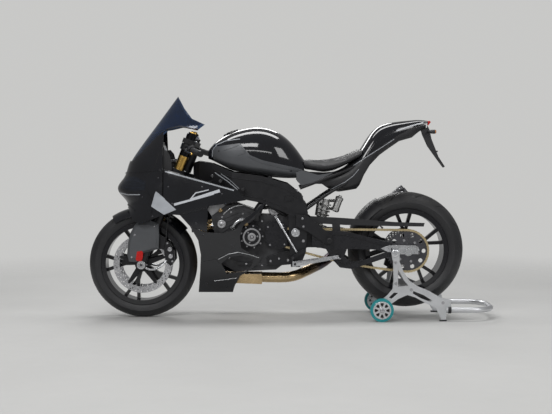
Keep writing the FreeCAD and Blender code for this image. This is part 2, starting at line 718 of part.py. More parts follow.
fender_shell = put(mudguard("fender_shell", "front_tyre_radius", "front_tyre_half", "tyre_crown",
                            "air_gap * 2", "fender_ahead", "fender_behind", 0.9),
                   "front_axle_x", 0, "front_axle_z")
fender_boss = rod("fender_boss", "fork_leg_radius * 0.4",
                  "fork_spread - fork_leg_radius * 0.5 - front_tyre_half * 1.12",
                  leg_spot("fender_seat", "front_tyre_half * 1.12"))
fender_whole = join("fender_whole", fender_shell, fender_boss, mirror("fender_boss_right", fender_boss))
node(less("front_fender", fender_whole, fork_legs), "front_fender")


# Body panels. The nose and the windscreen share one rounded volume, drawn as plan outlines level by level:
# each line holds the level, the tip, the half width as a share and how square the outline is.
NOSE_PX = [(226, 138, 1.02, 3.0), (209, 128, 1.04, 3.0), (197, 124, 1.02, 2.7), (191, 119, 1.0, 2.6),
           (178, 124, 0.97, 2.5), (160, 131, 0.93, 2.4), (146, 141.4, 0.87, 2.3), (130, 153.3, 0.76, 2.2),
           (116, 163.7, 0.62, 2.1)]
GLASS_PX = [(166, 128.4, 0.94, 2.4), (146, 141.4, 0.87, 2.3), (130, 153.3, 0.76, 2.2), (114, 165.2, 0.6, 2.1),
            (102, 174, 0.43, 2.0), (92, 181.5, 0.27, 2.0)]
# The side panels and the belly pan share another, wider and lower.
FLANK_PX = [(292, 108, 0.4, 2.2), (280, 108, 0.6, 2.1), (262, 108, 0.8, 2), (240, 108, 0.94, 2),
            (215, 108, 1.0, 2), (190, 108, 0.98, 2), (164, 108, 0.9, 2)]
WAIST_PX = (204, 215)
FLANK_BACK_PX = 345


def level_hull(levels, waist_px, back_px, half, shrink):
    rings = []
    for py, tip_px, half_share, power in levels:
        tip = spot(tip_px, py)
        waist = spot(waist_px, py).x
        back = spot(back_px, py).x if back_px else 2 * waist - tip.x
        rings.append(level_ring(tip.z, tip.x - shrink, waist, back + shrink, half * half_share - shrink,
                                power))
    return hull(rings)


def nose_volume(shrink):
    return level_hull(NOSE_PX, WAIST_PX[0], None, sheet.nose_half, shrink)


def glass_volume(shrink):
    return level_hull(GLASS_PX, WAIST_PX[0], None, sheet.nose_half, shrink)


def flank_volume(shrink):
    return level_hull(FLANK_PX, WAIST_PX[1], FLANK_BACK_PX, sheet.flank_half, shrink)


nose = nose_volume(0)
nose_inside = nose_volume(sheet.skin)
flank = flank_volume(0)
flank_inside = flank_volume(sheet.skin)
flank_inside.translate(UPWARD * sheet.skin)
wide = sheet.flank_half * 2


def panel(outer, inner, outline, side):
    """The wall between two volumes inside a side-view outline, on both sides of the bike."""
    return outer.common(prism(outline, side, -wide, wide)).cut(inner)


SCREEN_PX = [(131, 161), (146, 146), (153, 139), (166, 128), (166, 110), (118, 110)]
GLASS_CUT_PX = [(131, 163.5), (147, 148.5), (154, 141.5), (166, 130.5), (180, 127), (195, 130), (203, 124),
                (190, 118), (183, 108), (178.3, 97.8), (176, 88), (118, 88), (118, 163.5)]
NOSE_CUT_PX = [(105, 161.3), (131, 161.3), (146.3, 146.3), (153.3, 139.3), (163, 131), (163, 214), (160, 216),
               (141, 223), (133, 221), (127, 209), (105, 209)]
LAMP_PX = [(119, 187), (124, 177), (135, 176.5), (146, 182), (145, 190), (132, 191), (121, 189)]
WINGLET_PX = [(157, 191), (177, 209), (165, 214), (152, 206), (156, 192)]
FLANK_CUT_PX = [(163.1, 169), (238, 190), (246, 200), (222, 204), (208, 206), (207, 231.9), (190, 226.1),
                (180, 215), (163.1, 214)]
BELLY_PX = [(190, 226.2), (205, 232), (222, 233), (236, 229), (244, 219), (254, 212), (266, 200), (262, 208),
            (252, 218), (243, 226), (240, 236), (241, 248), (250, 254), (262, 257), (258, 264), (250, 271),
            (240, 277), (234, 288), (232, 295), (197, 295), (199.5, 272), (200.5, 255), (198, 240)]
BELLY_WINDOW_PX = [(221, 264), (230, 257), (242, 256), (254, 259.5), (251, 266.5), (246, 272.5), (226, 275)]

windscreen = panel(glass_volume(sheet.skin + sheet.seam / 2), glass_volume(sheet.skin * 2 + sheet.seam / 2),
                   GLASS_CUT_PX, sheet.screen_side)
nose_panel = panel(nose, nose_inside, NOSE_CUT_PX, sheet.nose_side)
nose_panel = nose_panel.cut(prism(SCREEN_PX, sheet.screen_side, -wide, wide))
lamps = panel(nose, nose_inside, LAMP_PX, sheet.nose_side)
nose_panel = nose_panel.cut(prism(LAMP_PX, sheet.nose_side, -wide, wide))
node(shaped("windscreen", solids(windscreen.cut(nose_panel))), "windscreen")
node(shaped("headlamps", solids(lamps)), "headlamps")
node(shaped("nose_fairing", solids(nose_panel)), "nose_fairing")
flank_panel = panel(flank, flank_inside, FLANK_CUT_PX, sheet.flank_side)
belly_panel = panel(flank, flank_inside, BELLY_PX, sheet.flank_side)
belly_panel = belly_panel.cut(prism(BELLY_WINDOW_PX, sheet.flank_side, -wide, wide))
node(shaped("side_fairings", solids(flank_panel)), "side_fairings")
node(shaped("belly_pan", solids(belly_panel)), "belly_pan")
stay_reach = worth("(yoke_low + yoke_high) / 2")
stay_root = Vector(sheet.steer_x - stay_reach * sheet.rake_sin, 0,
                   sheet.steer_z + stay_reach * sheet.rake_cos)
stay_nose = spot(126, 170)
stay_root = stay_root + (stay_nose - stay_root).normalize() * sheet.head_radius
nose_stay = tube([stay_root, stay_nose], sheet.hub_bore).common(nose_inside)
flank_stays = []
for px, py, share in ((222, 180, 0.8), (244, 188, 0.92)):
    start = spot(px, py)
    start.y = sheet.frame_half * share
    flank_stays.append(tube([start, start + ACROSS * sheet.frame_half],
                            sheet.rail_radius).common(flank_inside))
flank_stays = both_sides(flank_stays[0].fuse(flank_stays[1:]))
stays = shaped("stays", Part.makeCompound([nose_stay, flank_stays]))
DISPLAY_PX = [(160, 143), (163, 142), (170, 160), (168.5, 163.5), (166, 163)]
display = plate("display_case", DISPLAY_PX, "0", "nose_half * 0.75")
node(less("instrument_display", display, stays), "instrument_display")
winglet = panel(nose_volume(-sheet.winglet_depth), nose, WINGLET_PX, sheet.nose_side).cut(flank)
node(shaped("winglets", solids(winglet)), "winglets")

# Tank, seat and tail are drawn as cross outlines along the bike: place, top, bottom, half width as a share.
TANK_PX = [(209, 150, 159, 0.40), (214, 144, 161, 0.62), (224, 136.5, 166, 0.84), (240, 130, 172, 0.96),
           (256, 127.5, 175, 1.0), (272, 130, 177, 0.95), (286, 138, 178, 0.78), (297, 150, 178, 0.58),
           (304, 160, 178, 0.44)]
SEAT_PX = [(302, 159, 168, 0.5), (315, 160.5, 172, 0.75), (330, 159.5, 171, 0.95), (345, 155.5, 165, 1.0),
           (361, 148.5, 157, 0.95)]
TAIL_PX = [(305, 170, 188, 0.72), (325, 172, 190, 0.84), (345, 166, 192, 0.95), (360, 149, 186, 1.0),
           (376, 128, 161, 0.86), (392, 122.5, 147.5, 0.68), (410, 120.5, 138.5, 0.46),
           (427, 121, 127.5, 0.20)]
COVER_PX = [(212, 147), (240, 143), (250, 155), (262, 160), (297, 168), (303, 170), (303, 178), (283, 178),
            (262, 175), (232, 171), (213, 161)]
TAIL_TOP_PX = [(362, 150), (362, 105), (432, 105), (432, 122), (424, 125), (412, 128), (400, 134), (385, 143),
               (372, 152), (360, 160), (340, 170)]
TAIL_LOW_PX = [(428, 124.2), (412, 128.3), (400, 134.3), (385, 143.3), (372, 152.3), (360, 160.3),
               (340, 170.3), (325, 173), (305, 172), (305, 181), (310, 184), (322, 184), (335, 193),
               (345, 191), (357, 189), (360, 185), (364, 175), (370, 165), (380, 155), (390, 148),
               (400, 141), (415, 137), (428, 128.5)]


def cross_hull(stations, half, shrink, power, belly_share):
    rings = []
    for px, top_py, bottom_py, half_share in stations:
        top = spot(px, top_py)
        bottom = spot(px, bottom_py)
        rings.append(cross_ring(top.x, bottom.z + shrink, top.z - shrink, half * half_share - shrink, power,
                                belly_share))
    return hull(rings)


tank = cross_hull(TANK_PX, sheet.tank_half, 0, 2.5, 0.35)
cover = panel(cross_hull(TANK_PX, sheet.tank_half, -sheet.skin, 2.5, 0.35),
              cross_hull(TANK_PX, sheet.tank_half, -sheet.seam * SLIM_SHARE, 2.5, 0.35), COVER_PX,
              sheet.tank_half)
fuel_tank = shaped("fuel_tank", solids(tank))
node(fuel_tank, "fuel_tank")
tank_covers = shaped("tank_covers", solids(cover))
tail = cross_hull(TAIL_PX, sheet.tail_half, 0, 2.8, 0.5)
tail_inside = cross_hull(TAIL_PX, sheet.tail_half, sheet.skin, 2.8, 0.5)
tail_cowl = panel(tail, tail_inside, TAIL_TOP_PX, sheet.tail_half)
tail_low = panel(tail, tail_inside, TAIL_LOW_PX, sheet.tail_half)
seat = cross_hull(SEAT_PX, sheet.tail_half, 0, 3, 0.5).cut(tank).cut(cover).cut(tail)
node(shaped("seat", solids(seat)), "seat")
node(shaped("tail_cowl", solids(tail_cowl)), "tail_cowl")
node(shaped("tail_side_panels", solids(tail_low)), "tail_side_panels")
tail_core = shaped("tail_core", tail)
TAIL_LIGHT_PX = [(424, 121.5), (429, 121), (430, 122.3), (427.5, 125.5), (424, 125)]
tail_light = plate("tail_light", TAIL_LIGHT_PX, "0", "tail_half * 0.3")
node(less("tail_lamp", tail_light, tail_core), "tail_lamp")

# Frame: two beams from the steering head round the engine to the swingarm pivot, where the beams' side view
# and plan view meet. The plan's shares are those of the frame's half width, inside and outside.
BEAM_PX = [(192, 163), (198, 161), (212, 163.5), (232, 172), (262, 176), (288, 184), (303, 196),
           (303, 222), (288, 214), (262, 203), (232, 197), (212, 190), (198, 183), (192, 181)]
BEAM_PLAN_PX = [(192, -0.05, 0.32), (198, 0.22, 0.46), (212, 0.50, 0.70), (232, 0.76, 0.95), (262, 0.81, 1.0),
                (288, 0.81, 1.0), (303, 0.80, 0.98)]
beam_side = plate("beam_side", BEAM_PX, "frame_half", "frame_half * 2.4")
beam_plan = body("beam_plan")
plan = [(spot_rules(px, 0, "frame_half")[0], f"frame_half * {outer}") for px, inner, outer in BEAM_PLAN_PX]
plan += [(spot_rules(px, 0, "frame_half")[0], f"frame_half * {inner}")
         for px, inner, outer in BEAM_PLAN_PX[::-1]]
pad(beam_plan, sketch(beam_plan, "XY_Plane", [plan], "beam_plan_outline"), "overall_height * 2")
beam = doc.addObject("Part::MultiCommon", "frame_beam")
beam.Shapes = [beam_side, beam_plan]
PIVOT_PLATE_PX = [(288, 212), (303, 198), (308, 212), (306, 252), (300, 267), (291, 267), (290, 254)]
pivot_plate = plate("pivot_plate", PIVOT_PLATE_PX, "frame_half * 0.89", "frame_half * 0.18")
frame_side = join("frame_side", beam, pivot_plate)
head_tube = head_rod("head_tube", "head_radius", "yoke_low + yoke_depth / 2 + seam",
                     "yoke_high - yoke_low - yoke_depth - seam * 2")
head_bore = head_rod("head_bore", "stem_radius + running_gap", "yoke_low", "yoke_high - yoke_low")
cross_bar = rod("frame_cross_bar", "pivot_radius", "frame_half * 1.7",
                (spot_rules(303, 204)[0], "-frame_half * 0.85", spot_rules(303, 204)[1]))
tank_bar = rod("tank_bar", "hub_bore", "frame_half * 1.7",
               (spot_rules(270, 177.5)[0], "-frame_half * 0.85", spot_rules(270, 177.5)[1]))
engine_bolts = [rod(name, "hub_bore * 0.7", "frame_half * 1.8",
                    (spot_rules(px, py)[0], "-frame_half * 0.9", spot_rules(px, py)[1]))
                for name, px, py in (("engine_bolt_high", 289.5, 219.5), ("engine_bolt_low", 288.7, 252))]
pivot_pin = rod("pivot_pin", "pivot_radius * 0.7", "frame_half * 2", ("pivot_x", "-frame_half", "pivot_z"))
prop_place = ("side_stand_x", "frame_half * 0.85", "side_stand_z")
prop_lug = rod("prop_lug", "hub_bore * 1.1",
               "side_stand_side - side_stand_wall / 2 - running_gap * 2 - frame_half * 0.85", prop_place)
prop_pin = rod("prop_pin", "hub_bore / 2", "side_stand_side + side_stand_wall / 2 + skin - frame_half * 0.85",
               prop_place)
frame_whole = join("frame_whole", frame_side, mirror("frame_side_right", frame_side), head_tube, cross_bar,
                   tank_bar, *engine_bolts, pivot_pin, prop_lug, prop_pin)
main_frame = less("main_frame", frame_whole, head_bore, fuel_tank, tank_covers)
node(main_frame, "main_frame")
node(less("fairing_stays", stays, main_frame), "fairing_stays")

# Engine: crankcase, leaning cylinders with their head, and the round covers.
crankcase = plate("crankcase", [(216, 236), (262, 214), (287, 214), (292, 216), (292, 223), (287, 226),
                                (287, 246), (291, 248), (291, 256), (284, 262), (276, 268),
                                (236, 270), (222, 262), (214, 248)], "0", "engine_half * 1.2")
cylinders = plate("cylinders", [(213, 214.4), (226.4, 204.4), (236, 203), (262, 212), (250, 221), (240, 226),
                                (226, 238), (217, 238)], "0", "engine_half * 2")
HEAD_FACE_PX = [(217, 216), (227, 208), (240, 208), (252, 213), (244, 219), (234, 223), (222, 232),
                (219, 228)]
head_face = plate("head_face", HEAD_FACE_PX, "0", "(engine_half + skin * 2) * 2")
output_shaft = rod("output_shaft", "stem_radius - running_gap", "chain_side + sprocket_wall",
                   ("drive_x", 0, "drive_z"))
engine_whole = join("engine_whole", crankcase, cylinders, head_face, output_shaft)
engine_block = less("engine_block", engine_whole, *engine_bolts)
node(engine_block, "engine_block")
CAM_COVER_PX = [(209, 208), (212, 201), (221, 198), (226.3, 204.35), (213, 214.3)]
cam_cover = plate("cam_cover", CAM_COVER_PX, "0", "engine_half * 1.9")
node(cam_cover, "cam_cover")


def cover_disc(name, px, py, radius, start, reach):
    """Round cover with a stepped face."""
    across, up = spot_rules(px, py, start)
    return join(name, rod(name + "_base", radius, f"({reach}) * 0.6", (across, start, up)),
                rod(name + "_face", f"({radius}) * 0.8", reach, (across, start, up)))


left_cover = cover_disc("alternator_cover", 252, 236, "cover_radius", "engine_half * 0.6", "cover_reach")
right_cover = mirror("clutch_cover", cover_disc("clutch_cover_left", 262, 240, "cover_radius * 1.2",
                                                "engine_half * 0.6", "cover_reach"))
SPROCKET_COVER_PX = [(265, 226), (272, 221), (284, 222), (287.3, 228), (287.3, 246), (280, 250), (270, 247),
                     (265, 240)]
cover_bosses = [rod(name, "hub_bore * 0.6", "chain_side + chain_depth + skin - engine_half * 0.6",
                    (spot_rules(px, py)[0], "engine_half * 0.6", spot_rules(px, py)[1]))
                for name, px, py in (("cover_boss_high", 267.5, 226.5), ("cover_boss_low", 268, 242.5))]
sprocket_cover = join("sprocket_cover", plate("sprocket_cover_plate", SPROCKET_COVER_PX,
                                              "chain_side + chain_depth + skin", "skin * 2"), *cover_bosses)
node(group("engine_covers", left_cover, right_cover, sprocket_cover), "engine_covers")

RADIATOR_PX = [(189.5, 191.5), (195, 190.5), (199.3, 229), (193.8, 230.5)]
radiator = plate("radiator_core", RADIATOR_PX, "0", "engine_half * 1.9")
radiator_stay = shaped("radiator_stay", both_sides(tube(
    [spot(192, 196) + ACROSS * sheet.frame_half * 0.6, spot(216, 178) + ACROSS * sheet.frame_half * 0.66],
    sheet.rail_radius * 0.8)))
node(less("radiator", join("radiator_whole", radiator, radiator_stay), main_frame), "radiator")

# Exhaust: four headers bend down before the engine and back under it into one pipe, which climbs on the
# right to the silencer.
headers = []
for number, share in enumerate((-0.8, -0.27, 0.27, 0.8)):
    side = sheet.engine_half * share
    low_side = side * 0.42
    headers.append(tube([spot(217, 223, 0) + ACROSS * side, spot(204, 225, 0) + ACROSS * side,
                         spot(204, 248, 0) + ACROSS * side, spot(216, 276, 0) + ACROSS * low_side,
                         spot(242, 277, 0) + ACROSS * low_side], sheet.header_radius))
collector = tube([spot(242, 277), spot(292, 278), spot(312, 271) - ACROSS * sheet.engine_half * 0.67,
                  spot(326, 266) - ACROSS * sheet.muffler_side * 0.92,
                  spot(346, 248) - ACROSS * sheet.muffler_side,
                  spot(358, 236) - ACROSS * sheet.muffler_side], sheet.header_radius * 1.5)
gatherer = plate("gatherer", [(236, 273), (262, 273), (262, 283), (236, 282)], "0", "engine_half * 0.9")
pipes = headers[0].fuse(headers[1:] + [collector])
exhaust = join("exhaust_whole", shaped("pipes", pipes), gatherer)
exhaust_pipes = less("exhaust_pipes", exhaust, engine_block)
node(exhaust_pipes, "exhaust_pipes")
silencer = shaped("silencer", tube([spot(358, 236) - ACROSS * sheet.muffler_side,
                                  spot(411, 193) - ACROSS * sheet.muffler_side * 0.92], sheet.muffler_radius))
node(less("muffler", silencer, exhaust_pipes), "muffler")

# Swingarm: a barrel on the pivot, a web before the tyre and two braced beams.
ARM_PX = [(312, 230), (345, 231), (392, 243), (392, 252), (390, 256.5), (368, 264), (352, 269), (340, 267.5),
          (331, 258), (326, 249), (312, 246)]
ARM_HOLE_PX = [(347, 249), (376, 249.5), (386, 252.5), (366, 259.5), (352, 262), (344, 257)]
arm = plate("arm_beam", ARM_PX, "arm_inner + arm_wall / 2", "arm_wall", [ARM_HOLE_PX])
web = plate("arm_web", [(296, 228), (338, 236), (338, 246), (300, 246)], "0", "arm_inner * 1.5")
web_ends = plate("arm_web_ends", [(316, 236), (338, 237), (338, 246), (316, 246)], "0", "arm_inner * 2")
spool = rod("lift_spool", "spool_radius", "stand_side - arm_inner - arm_wall + stand_wall",
            ("spool_x", "arm_inner + arm_wall", "spool_z"))
barrel = rod("arm_barrel", "pivot_radius * 1.5", "arm_inner * 1.5",
             ("pivot_x", "-arm_inner * 0.75", "pivot_z"))
arm_whole = join("swingarm_whole", arm, mirror("arm_beam_right", arm), web, web_ends, barrel)
swingarm = less("swingarm", arm_whole, pivot_pin)
node(swingarm, "swingarm")
node(pair("lift_spools", spool), "lift_spools")

block_plate = plate("axle_block", [(392.3, 245), (416, 245.5), (419, 248), (418, 254), (397, 254.3),
                                   (392.3, 252)], "arm_inner + arm_wall / 2", "arm_wall")
axle_bar = rod("rear_axle_bar", "rear_axle_radius", "(arm_inner + arm_wall) * 2 + hub_bore * 2",
               ("rear_axle_x", "-arm_inner - arm_wall - hub_bore", "rear_axle_z"))
BLOCK_FACE_PX = [(381, 248.5), (390, 245.3), (393, 245.6), (393, 248), (391.6, 248), (391.6, 252.3),
                 (388, 252)]
block_face = plate("axle_block_face", BLOCK_FACE_PX, "arm_inner + arm_wall + skin / 2", "skin")
axle_block = join("axle_block_side", block_plate, block_face)
node(join("rear_axle", axle_bar, axle_block, mirror("axle_block_right", axle_block)), "rear_axle")

caliper = plate("rear_caliper_left", [(397, 263), (403, 270), (400, 276), (388, 269), (390, 262)],
                "rear_disc_side + disc_wall", "arm_inner - rear_disc_side + disc_wall * 3")
rear_slot = rod("rear_slot", "rear_disc_radius + air_gap", "disc_wall + air_gap * 2",
                ("rear_axle_x", "rear_disc_side - disc_wall / 2 - air_gap", "rear_axle_z"))
caliper_plate = plate("caliper_plate", [(388, 249), (400, 249), (403, 269), (390, 267)],
                      "arm_inner - skin * 0.7", "skin * 1.4")
caliper_cut = less("rear_caliper_cut", join("rear_caliper_whole", caliper, caliper_plate), rear_slot)
node(mirror("rear_caliper", caliper_cut), "rear_caliper")

hugger_shell = put(mudguard("hugger_shell", "rear_tyre_radius", "rear_tyre_half", "rear_tyre_crown",
                            "air_gap * 1.2", "hugger_ahead", "-hugger_start", 0.9),
                   "rear_axle_x", 0, "rear_axle_z")
hugger_boss = rod("hugger_boss", "hub_bore * 0.7", "arm_inner - rear_tyre_half * 0.96",
                  (spot_rules(355.2, 238.5)[0], "rear_tyre_half * 0.96", spot_rules(355.2, 238.5)[1]))
node(join("rear_hugger", hugger_shell, hugger_boss, mirror("hugger_boss_right", hugger_boss)), "rear_hugger")
guard = plate("guard_blade", [(310, 216), (345, 218), (395, 222), (425, 223), (424, 226.6), (395, 226.2),
                              (345, 225), (310, 223)], "chain_side + arm_wall * 0.35", "skin")
guard_tab = plate("guard_tab", [(332, 223), (340, 223), (341, 234), (333, 234)], "arm_inner - skin * 0.7",
                  "skin * 1.4")
node(join("chain_guard", guard, guard_tab), "chain_guard")

# Rear shock between the frame's cross bar and the swingarm.
shock_top = spot(326, 199)
shock_foot = spot(319, 235)
shock_line = shock_foot - shock_top
shock_length = shock_line.Length
damper = Part.makeCylinder(sheet.damper_radius, shock_length * 0.55, shock_top, shock_line)
damper_rod = Part.makeCylinder(sheet.damper_radius * 0.4, shock_length, shock_top, shock_line)
reservoir_start = shock_top + AHEAD * sheet.damper_radius * 1.2
reservoir = Part.makeCylinder(sheet.damper_radius * 0.8, shock_length * 0.45, reservoir_start,
                              shock_line - AHEAD * sheet.damper_radius * 0.3)
seat_plates = []
for share in (0.12, 0.86):
    start = shock_top + shock_line * share
    seat_plates.append(Part.makeCylinder(sheet.damper_radius * 1.5, sheet.damper_radius * 0.3, start,
                                         shock_line))
shock = damper.fuse([damper_rod, reservoir, *seat_plates])
node(less("shock_absorber", shaped("shock", shock), swingarm), "shock_absorber")

# Subframe rails inside the tail.
rails = []
for points in ([(300, 188, 0.9), (340, 173, 0.75), (356, 166, 0.7), (372, 157, 0.55)],
               [(302, 212, 0.9), (330, 192, 0.8), (350, 181, 0.7), (364, 170, 0.55)]):
    places = [spot(px, py, sheet.frame_half * share) for px, py, share in points]
    rails.append(tube(places, sheet.rail_radius))
rails = both_sides(rails[0].fuse(rails[1]))
subframe = less("subframe", shaped("rails", rails), main_frame, tail_core)
node(subframe, "subframe")
seat_trim = plate("seat_trim", [(296, 172), (303, 170.5), (318, 175), (333, 172.5), (346, 166.5), (322, 178),
                                (303, 187), (297, 181)], "frame_half * 0.9", "skin")
seat_trims = less("seat_trims", pair("seat_trim_pair", seat_trim), subframe, main_frame, tank_covers,
                  tail_core)
node(group("tank_side_covers", tank_covers, seat_trims), "tank_side_covers")

BRACKET_PX = [(419, 125.6), (427, 125.8), (429, 130), (431, 139), (438, 156.5), (444.5, 166.5),
              (442.8, 167.5), (436, 158.5), (427, 146), (422, 135)]
signal_x, signal_z = spot_rules(427.8, 132)
signal_bar = rod("signal_bar", "hub_bore * 0.6", "tail_half * 1.8", (signal_x, "-tail_half * 0.9", signal_z))
bracket = join("bracket_whole", plate("bracket_arm", BRACKET_PX, "0", "tail_half * 0.2"), signal_bar)
node(less("plate_bracket", bracket, tail_core, tail_light), "plate_bracket")

# Footrests and foot controls.
HANGER_PX = [(296, 214), (308, 216), (332, 236), (334, 244), (326, 244), (308, 232), (296, 226)]
hanger = plate("rest_hanger", HANGER_PX, "rest_side", "skin * 2")
peg_x, peg_z = spot_rules(329, 240, "rest_side")
peg = rod("rest_peg", "hub_bore * 0.85", "grip_length * 0.75", (peg_x, "rest_side", peg_z))
bosses = [rod(name, "hub_bore * 0.7", "rest_side - frame_half * 0.98",
              (spot_rules(px, py)[0], "frame_half * 0.98", spot_rules(px, py)[1]))
          for name, px, py in (("rest_boss_high", 302.5, 218.5), ("rest_boss_low", 303.5, 226))]
rest = join("footrest", hanger, peg, *bosses)
node(less("footrests", pair("footrest_pair", rest), main_frame), "footrests")

shift_side = sheet.rest_side - sheet.skin * 4
shift_x, shift_z = spot_rules(276, 217, "rest_side - skin * 5")
shift_shaft = rod("shift_shaft", "hub_bore / 2", "rest_side - skin * 4 - engine_half * 0.6",
                  (shift_x, "engine_half * 0.6", shift_z))
shift_rod = shaped("shift_rod", tube([spot(276, 217, shift_side), spot(298, 254.6, shift_side)],
                                     sheet.rail_radius * 0.5))
toe_lever = plate("toe_lever", [(292, 256.5), (303, 249), (306, 250), (305, 253), (293, 259.5)], "rest_side",
                  "skin * 2")
joint_x, joint_z = spot_rules(298, 254.6, "rest_side - skin * 4")
shift_joint = rod("shift_joint", "rail_radius * 0.5", "skin * 5", (joint_x, "rest_side - skin * 4", joint_z))
PEDAL_PX = [(294, 254.5), (298, 253.5), (312, 247), (322, 241.5), (328, 238), (331, 242), (326, 245.5),
            (312, 251.5), (299, 257.5), (294.5, 258)]
brake_pedal = mirror("brake_pedal", plate("brake_pedal_left", PEDAL_PX, "rest_side - skin * 2.1", "skin * 2"))
shifter = join("shifter", shift_shaft, shift_rod, shift_joint, toe_lever)
node(group("foot_controls", shifter, brake_pedal), "foot_controls")

STAND_LEG_PX = [(292.5, 261.5), (300, 261), (338, 255.3), (340, 258.5), (300, 266), (292.5, 267.3)]
stand_leg = plate("side_stand_leg", STAND_LEG_PX, "side_stand_side", "side_stand_wall")
prop_bore = rod("prop_bore", "hub_bore / 2 + running_gap", "side_stand_wall * 2",
                ("side_stand_x", "side_stand_side - side_stand_wall", "side_stand_z"))
node(less("side_stand", stand_leg, prop_bore), "side_stand")

# Brake hoses run down behind the fork legs. Each line is the distance along the leg, the distance behind
# it and the side, all as shares of the lower yoke's height over the axle.
HOSE_SHARES = [(0.976, 0.062, 0.161), (0.79, 0.066, 0.168), (0.6, 0.074, 0.175), (0.456, 0.095, 0.171),
               (0.372, 0.12, 0.157), (0.3, 0.14, 0.142)]
hose_points = []
for along, behind, side in HOSE_SHARES:
    across, middle, up = [worth(text) for text in leg_spot(f"yoke_low * {along}", f"yoke_low * {side}")]
    back = Vector(-sheet.rake_cos, 0, -sheet.rake_sin) * sheet.yoke_low * behind
    hose_points.append(Vector(across, middle, up) + back)
hose = shaped("hose", both_sides(tube(hose_points, sheet.hose_radius)))
node(less("brake_hoses", hose, front_calipers, triple_clamps), "brake_hoses")

WHEEL_COVER_PX = [(138, 221), (150, 220.5), (158.5, 223), (159, 236), (158.5, 249), (150, 251.5),
                  (140, 254.5), (136.5, 262.5), (128.5, 262), (126.5, 255), (127.5, 244), (130, 233),
                  (134, 225.5)]


def pillow(outline, side, depth, rise_share):
    """A raised cover: its face is a smaller copy of the outline it stands on."""
    foot = [spot(px, py, side) for px, py in outline]
    middle = sum(foot, Vector()) / len(foot)
    face = [middle + (corner - middle) * rise_share + ACROSS * depth for corner in foot]
    return hull([Part.makePolygon(ring + ring[:1]) for ring in (foot, face)], True)


cover_side = sheet.fork_spread + sheet.fork_leg_radius * 0.9
wheel_cover = shaped("wheel_cover", pillow(WHEEL_COVER_PX, cover_side, sheet.fork_leg_radius * 0.6, 0.8))
node(less("wheel_covers", pair("wheel_cover_pair", wheel_cover), fork_legs), "wheel_covers")

# Handlebars: clamps round the fork tubes, bars swept back, grips.
clip = less("bar_clamp", leg_rod("bar_clamp_ring", "fork_tube_radius * 1.3", "clip_low", "clip_depth"),
            leg_rod("bar_clamp_bore", "fork_tube_radius", "clip_low - seam", "clip_depth + seam * 2"))
inner_end = Vector(*[worth(text) for text in leg_spot("clip_low + clip_depth / 2")])
inner_end = inner_end + ACROSS * sheet.fork_tube_radius * 1.1
outer_end = Vector(inner_end.x - sheet.bar_sweep, sheet.bar_half, inner_end.z - sheet.bar_drop)
bar_line = (outer_end - inner_end).normalize()
bar_length = inner_end.distanceToPoint(outer_end)
bar = Part.makeCylinder(sheet.bar_radius, bar_length, inner_end, bar_line)
weight = Part.makeCylinder(sheet.grip_radius, sheet.bar_radius, outer_end - bar_line * sheet.bar_radius,
                           bar_line)
switch = Part.makeCylinder(sheet.grip_radius * 1.25, sheet.grip_length * 0.3,
                           outer_end - bar_line * (sheet.grip_length * 1.35 + sheet.bar_radius), bar_line)
handlebars = pair("handlebars", join("handlebar", clip, shaped("bar", bar.fuse([weight, switch]))))
node(handlebars, "handlebars")
grip_start = outer_end - bar_line * (sheet.grip_length + sheet.bar_radius)
grip = Part.makeCylinder(sheet.grip_radius, sheet.grip_length, grip_start, bar_line).cut(bar)
node(pair("grips", shaped("grip", grip)), "grips")
perch = outer_end - bar_line * (sheet.grip_length * 1.2 + sheet.bar_radius)
perch_front = perch + AHEAD * sheet.grip_radius * 1.9
lever_bend = perch_front + (bar_line * 0.45 + AHEAD * 0.16) * sheet.grip_length
lever_end = perch_front + (bar_line * 1.25 + AHEAD * 0.12) * sheet.grip_length
lever = tube([perch_front, lever_bend, lever_end], sheet.bar_radius * 0.45)
lever = lever.fuse(Part.makeCylinder(sheet.bar_radius * 0.7, sheet.grip_radius * 1.9, perch, AHEAD))
node(less("levers", shaped("lever_pair", both_sides(lever)), handlebars), "levers")

# Paddock stand: side plates under the spools, a U handle and two wheels.
STAND_PX = [(392.3, 250), (392.3, 257.5), (393.5, 262), (394, 280), (393, 289.5), (388, 295.5), (381, 301.5),
            (378, 307.5), (384, 311.5), (392, 304.5), (399, 299.5), (408, 295.5), (416, 298), (428, 304.5),
            (437, 309), (441, 318), (447, 318), (447.5, 311), (452.5, 307), (451, 300), (441, 298),
            (430, 291.5), (418, 286.5), (410, 281), (404, 272), (400, 262), (400, 250), (397.8, 250),
            (397.8, 253), (392.3, 253)]
STAND_HOLES_PX = [[(398.6, 270), (404.5, 281), (409, 286), (398.6, 287)],
                  [(414, 291.5), (424, 295.5), (433, 301), (431.5, 302.5), (422, 299), (413.5, 294)],
                  [(394.5, 293), (399, 293.5), (392, 299.5), (389.5, 298)]]
side_plate = plate("stand_plate", STAND_PX, "stand_side", "stand_wall", STAND_HOLES_PX)
handle_start = worth(spot_rules(447, 306, "stand_side")[0])
tail_end = sheet.rear_axle_x - sheet.stand_tail + sheet.stand_tube_radius
handle = tube([Vector(handle_start, sheet.stand_side, sheet.stand_tube_z),
               Vector(tail_end, sheet.stand_side, sheet.stand_tube_z),
               Vector(tail_end, -sheet.stand_side, sheet.stand_tube_z),
               Vector(handle_start, -sheet.stand_side, sheet.stand_tube_z)], sheet.stand_tube_radius)
stand_axle = rod("stand_axle", "stand_axle_radius", "stand_wheel_side - stand_side + stand_wheel_wall",
                 ("stand_wheel_x", "stand_side", "stand_wheel_radius"))
stand_foot = box("stand_foot", (spot_rules(447, 318, "stand_side")[0], "stand_side - stand_wall / 2", 0),
                 ("stand_wheel_wall", "stand_wall", "stand_tube_z * 0.6"))
stand_side = join("stand_half", side_plate, stand_foot, stand_axle)
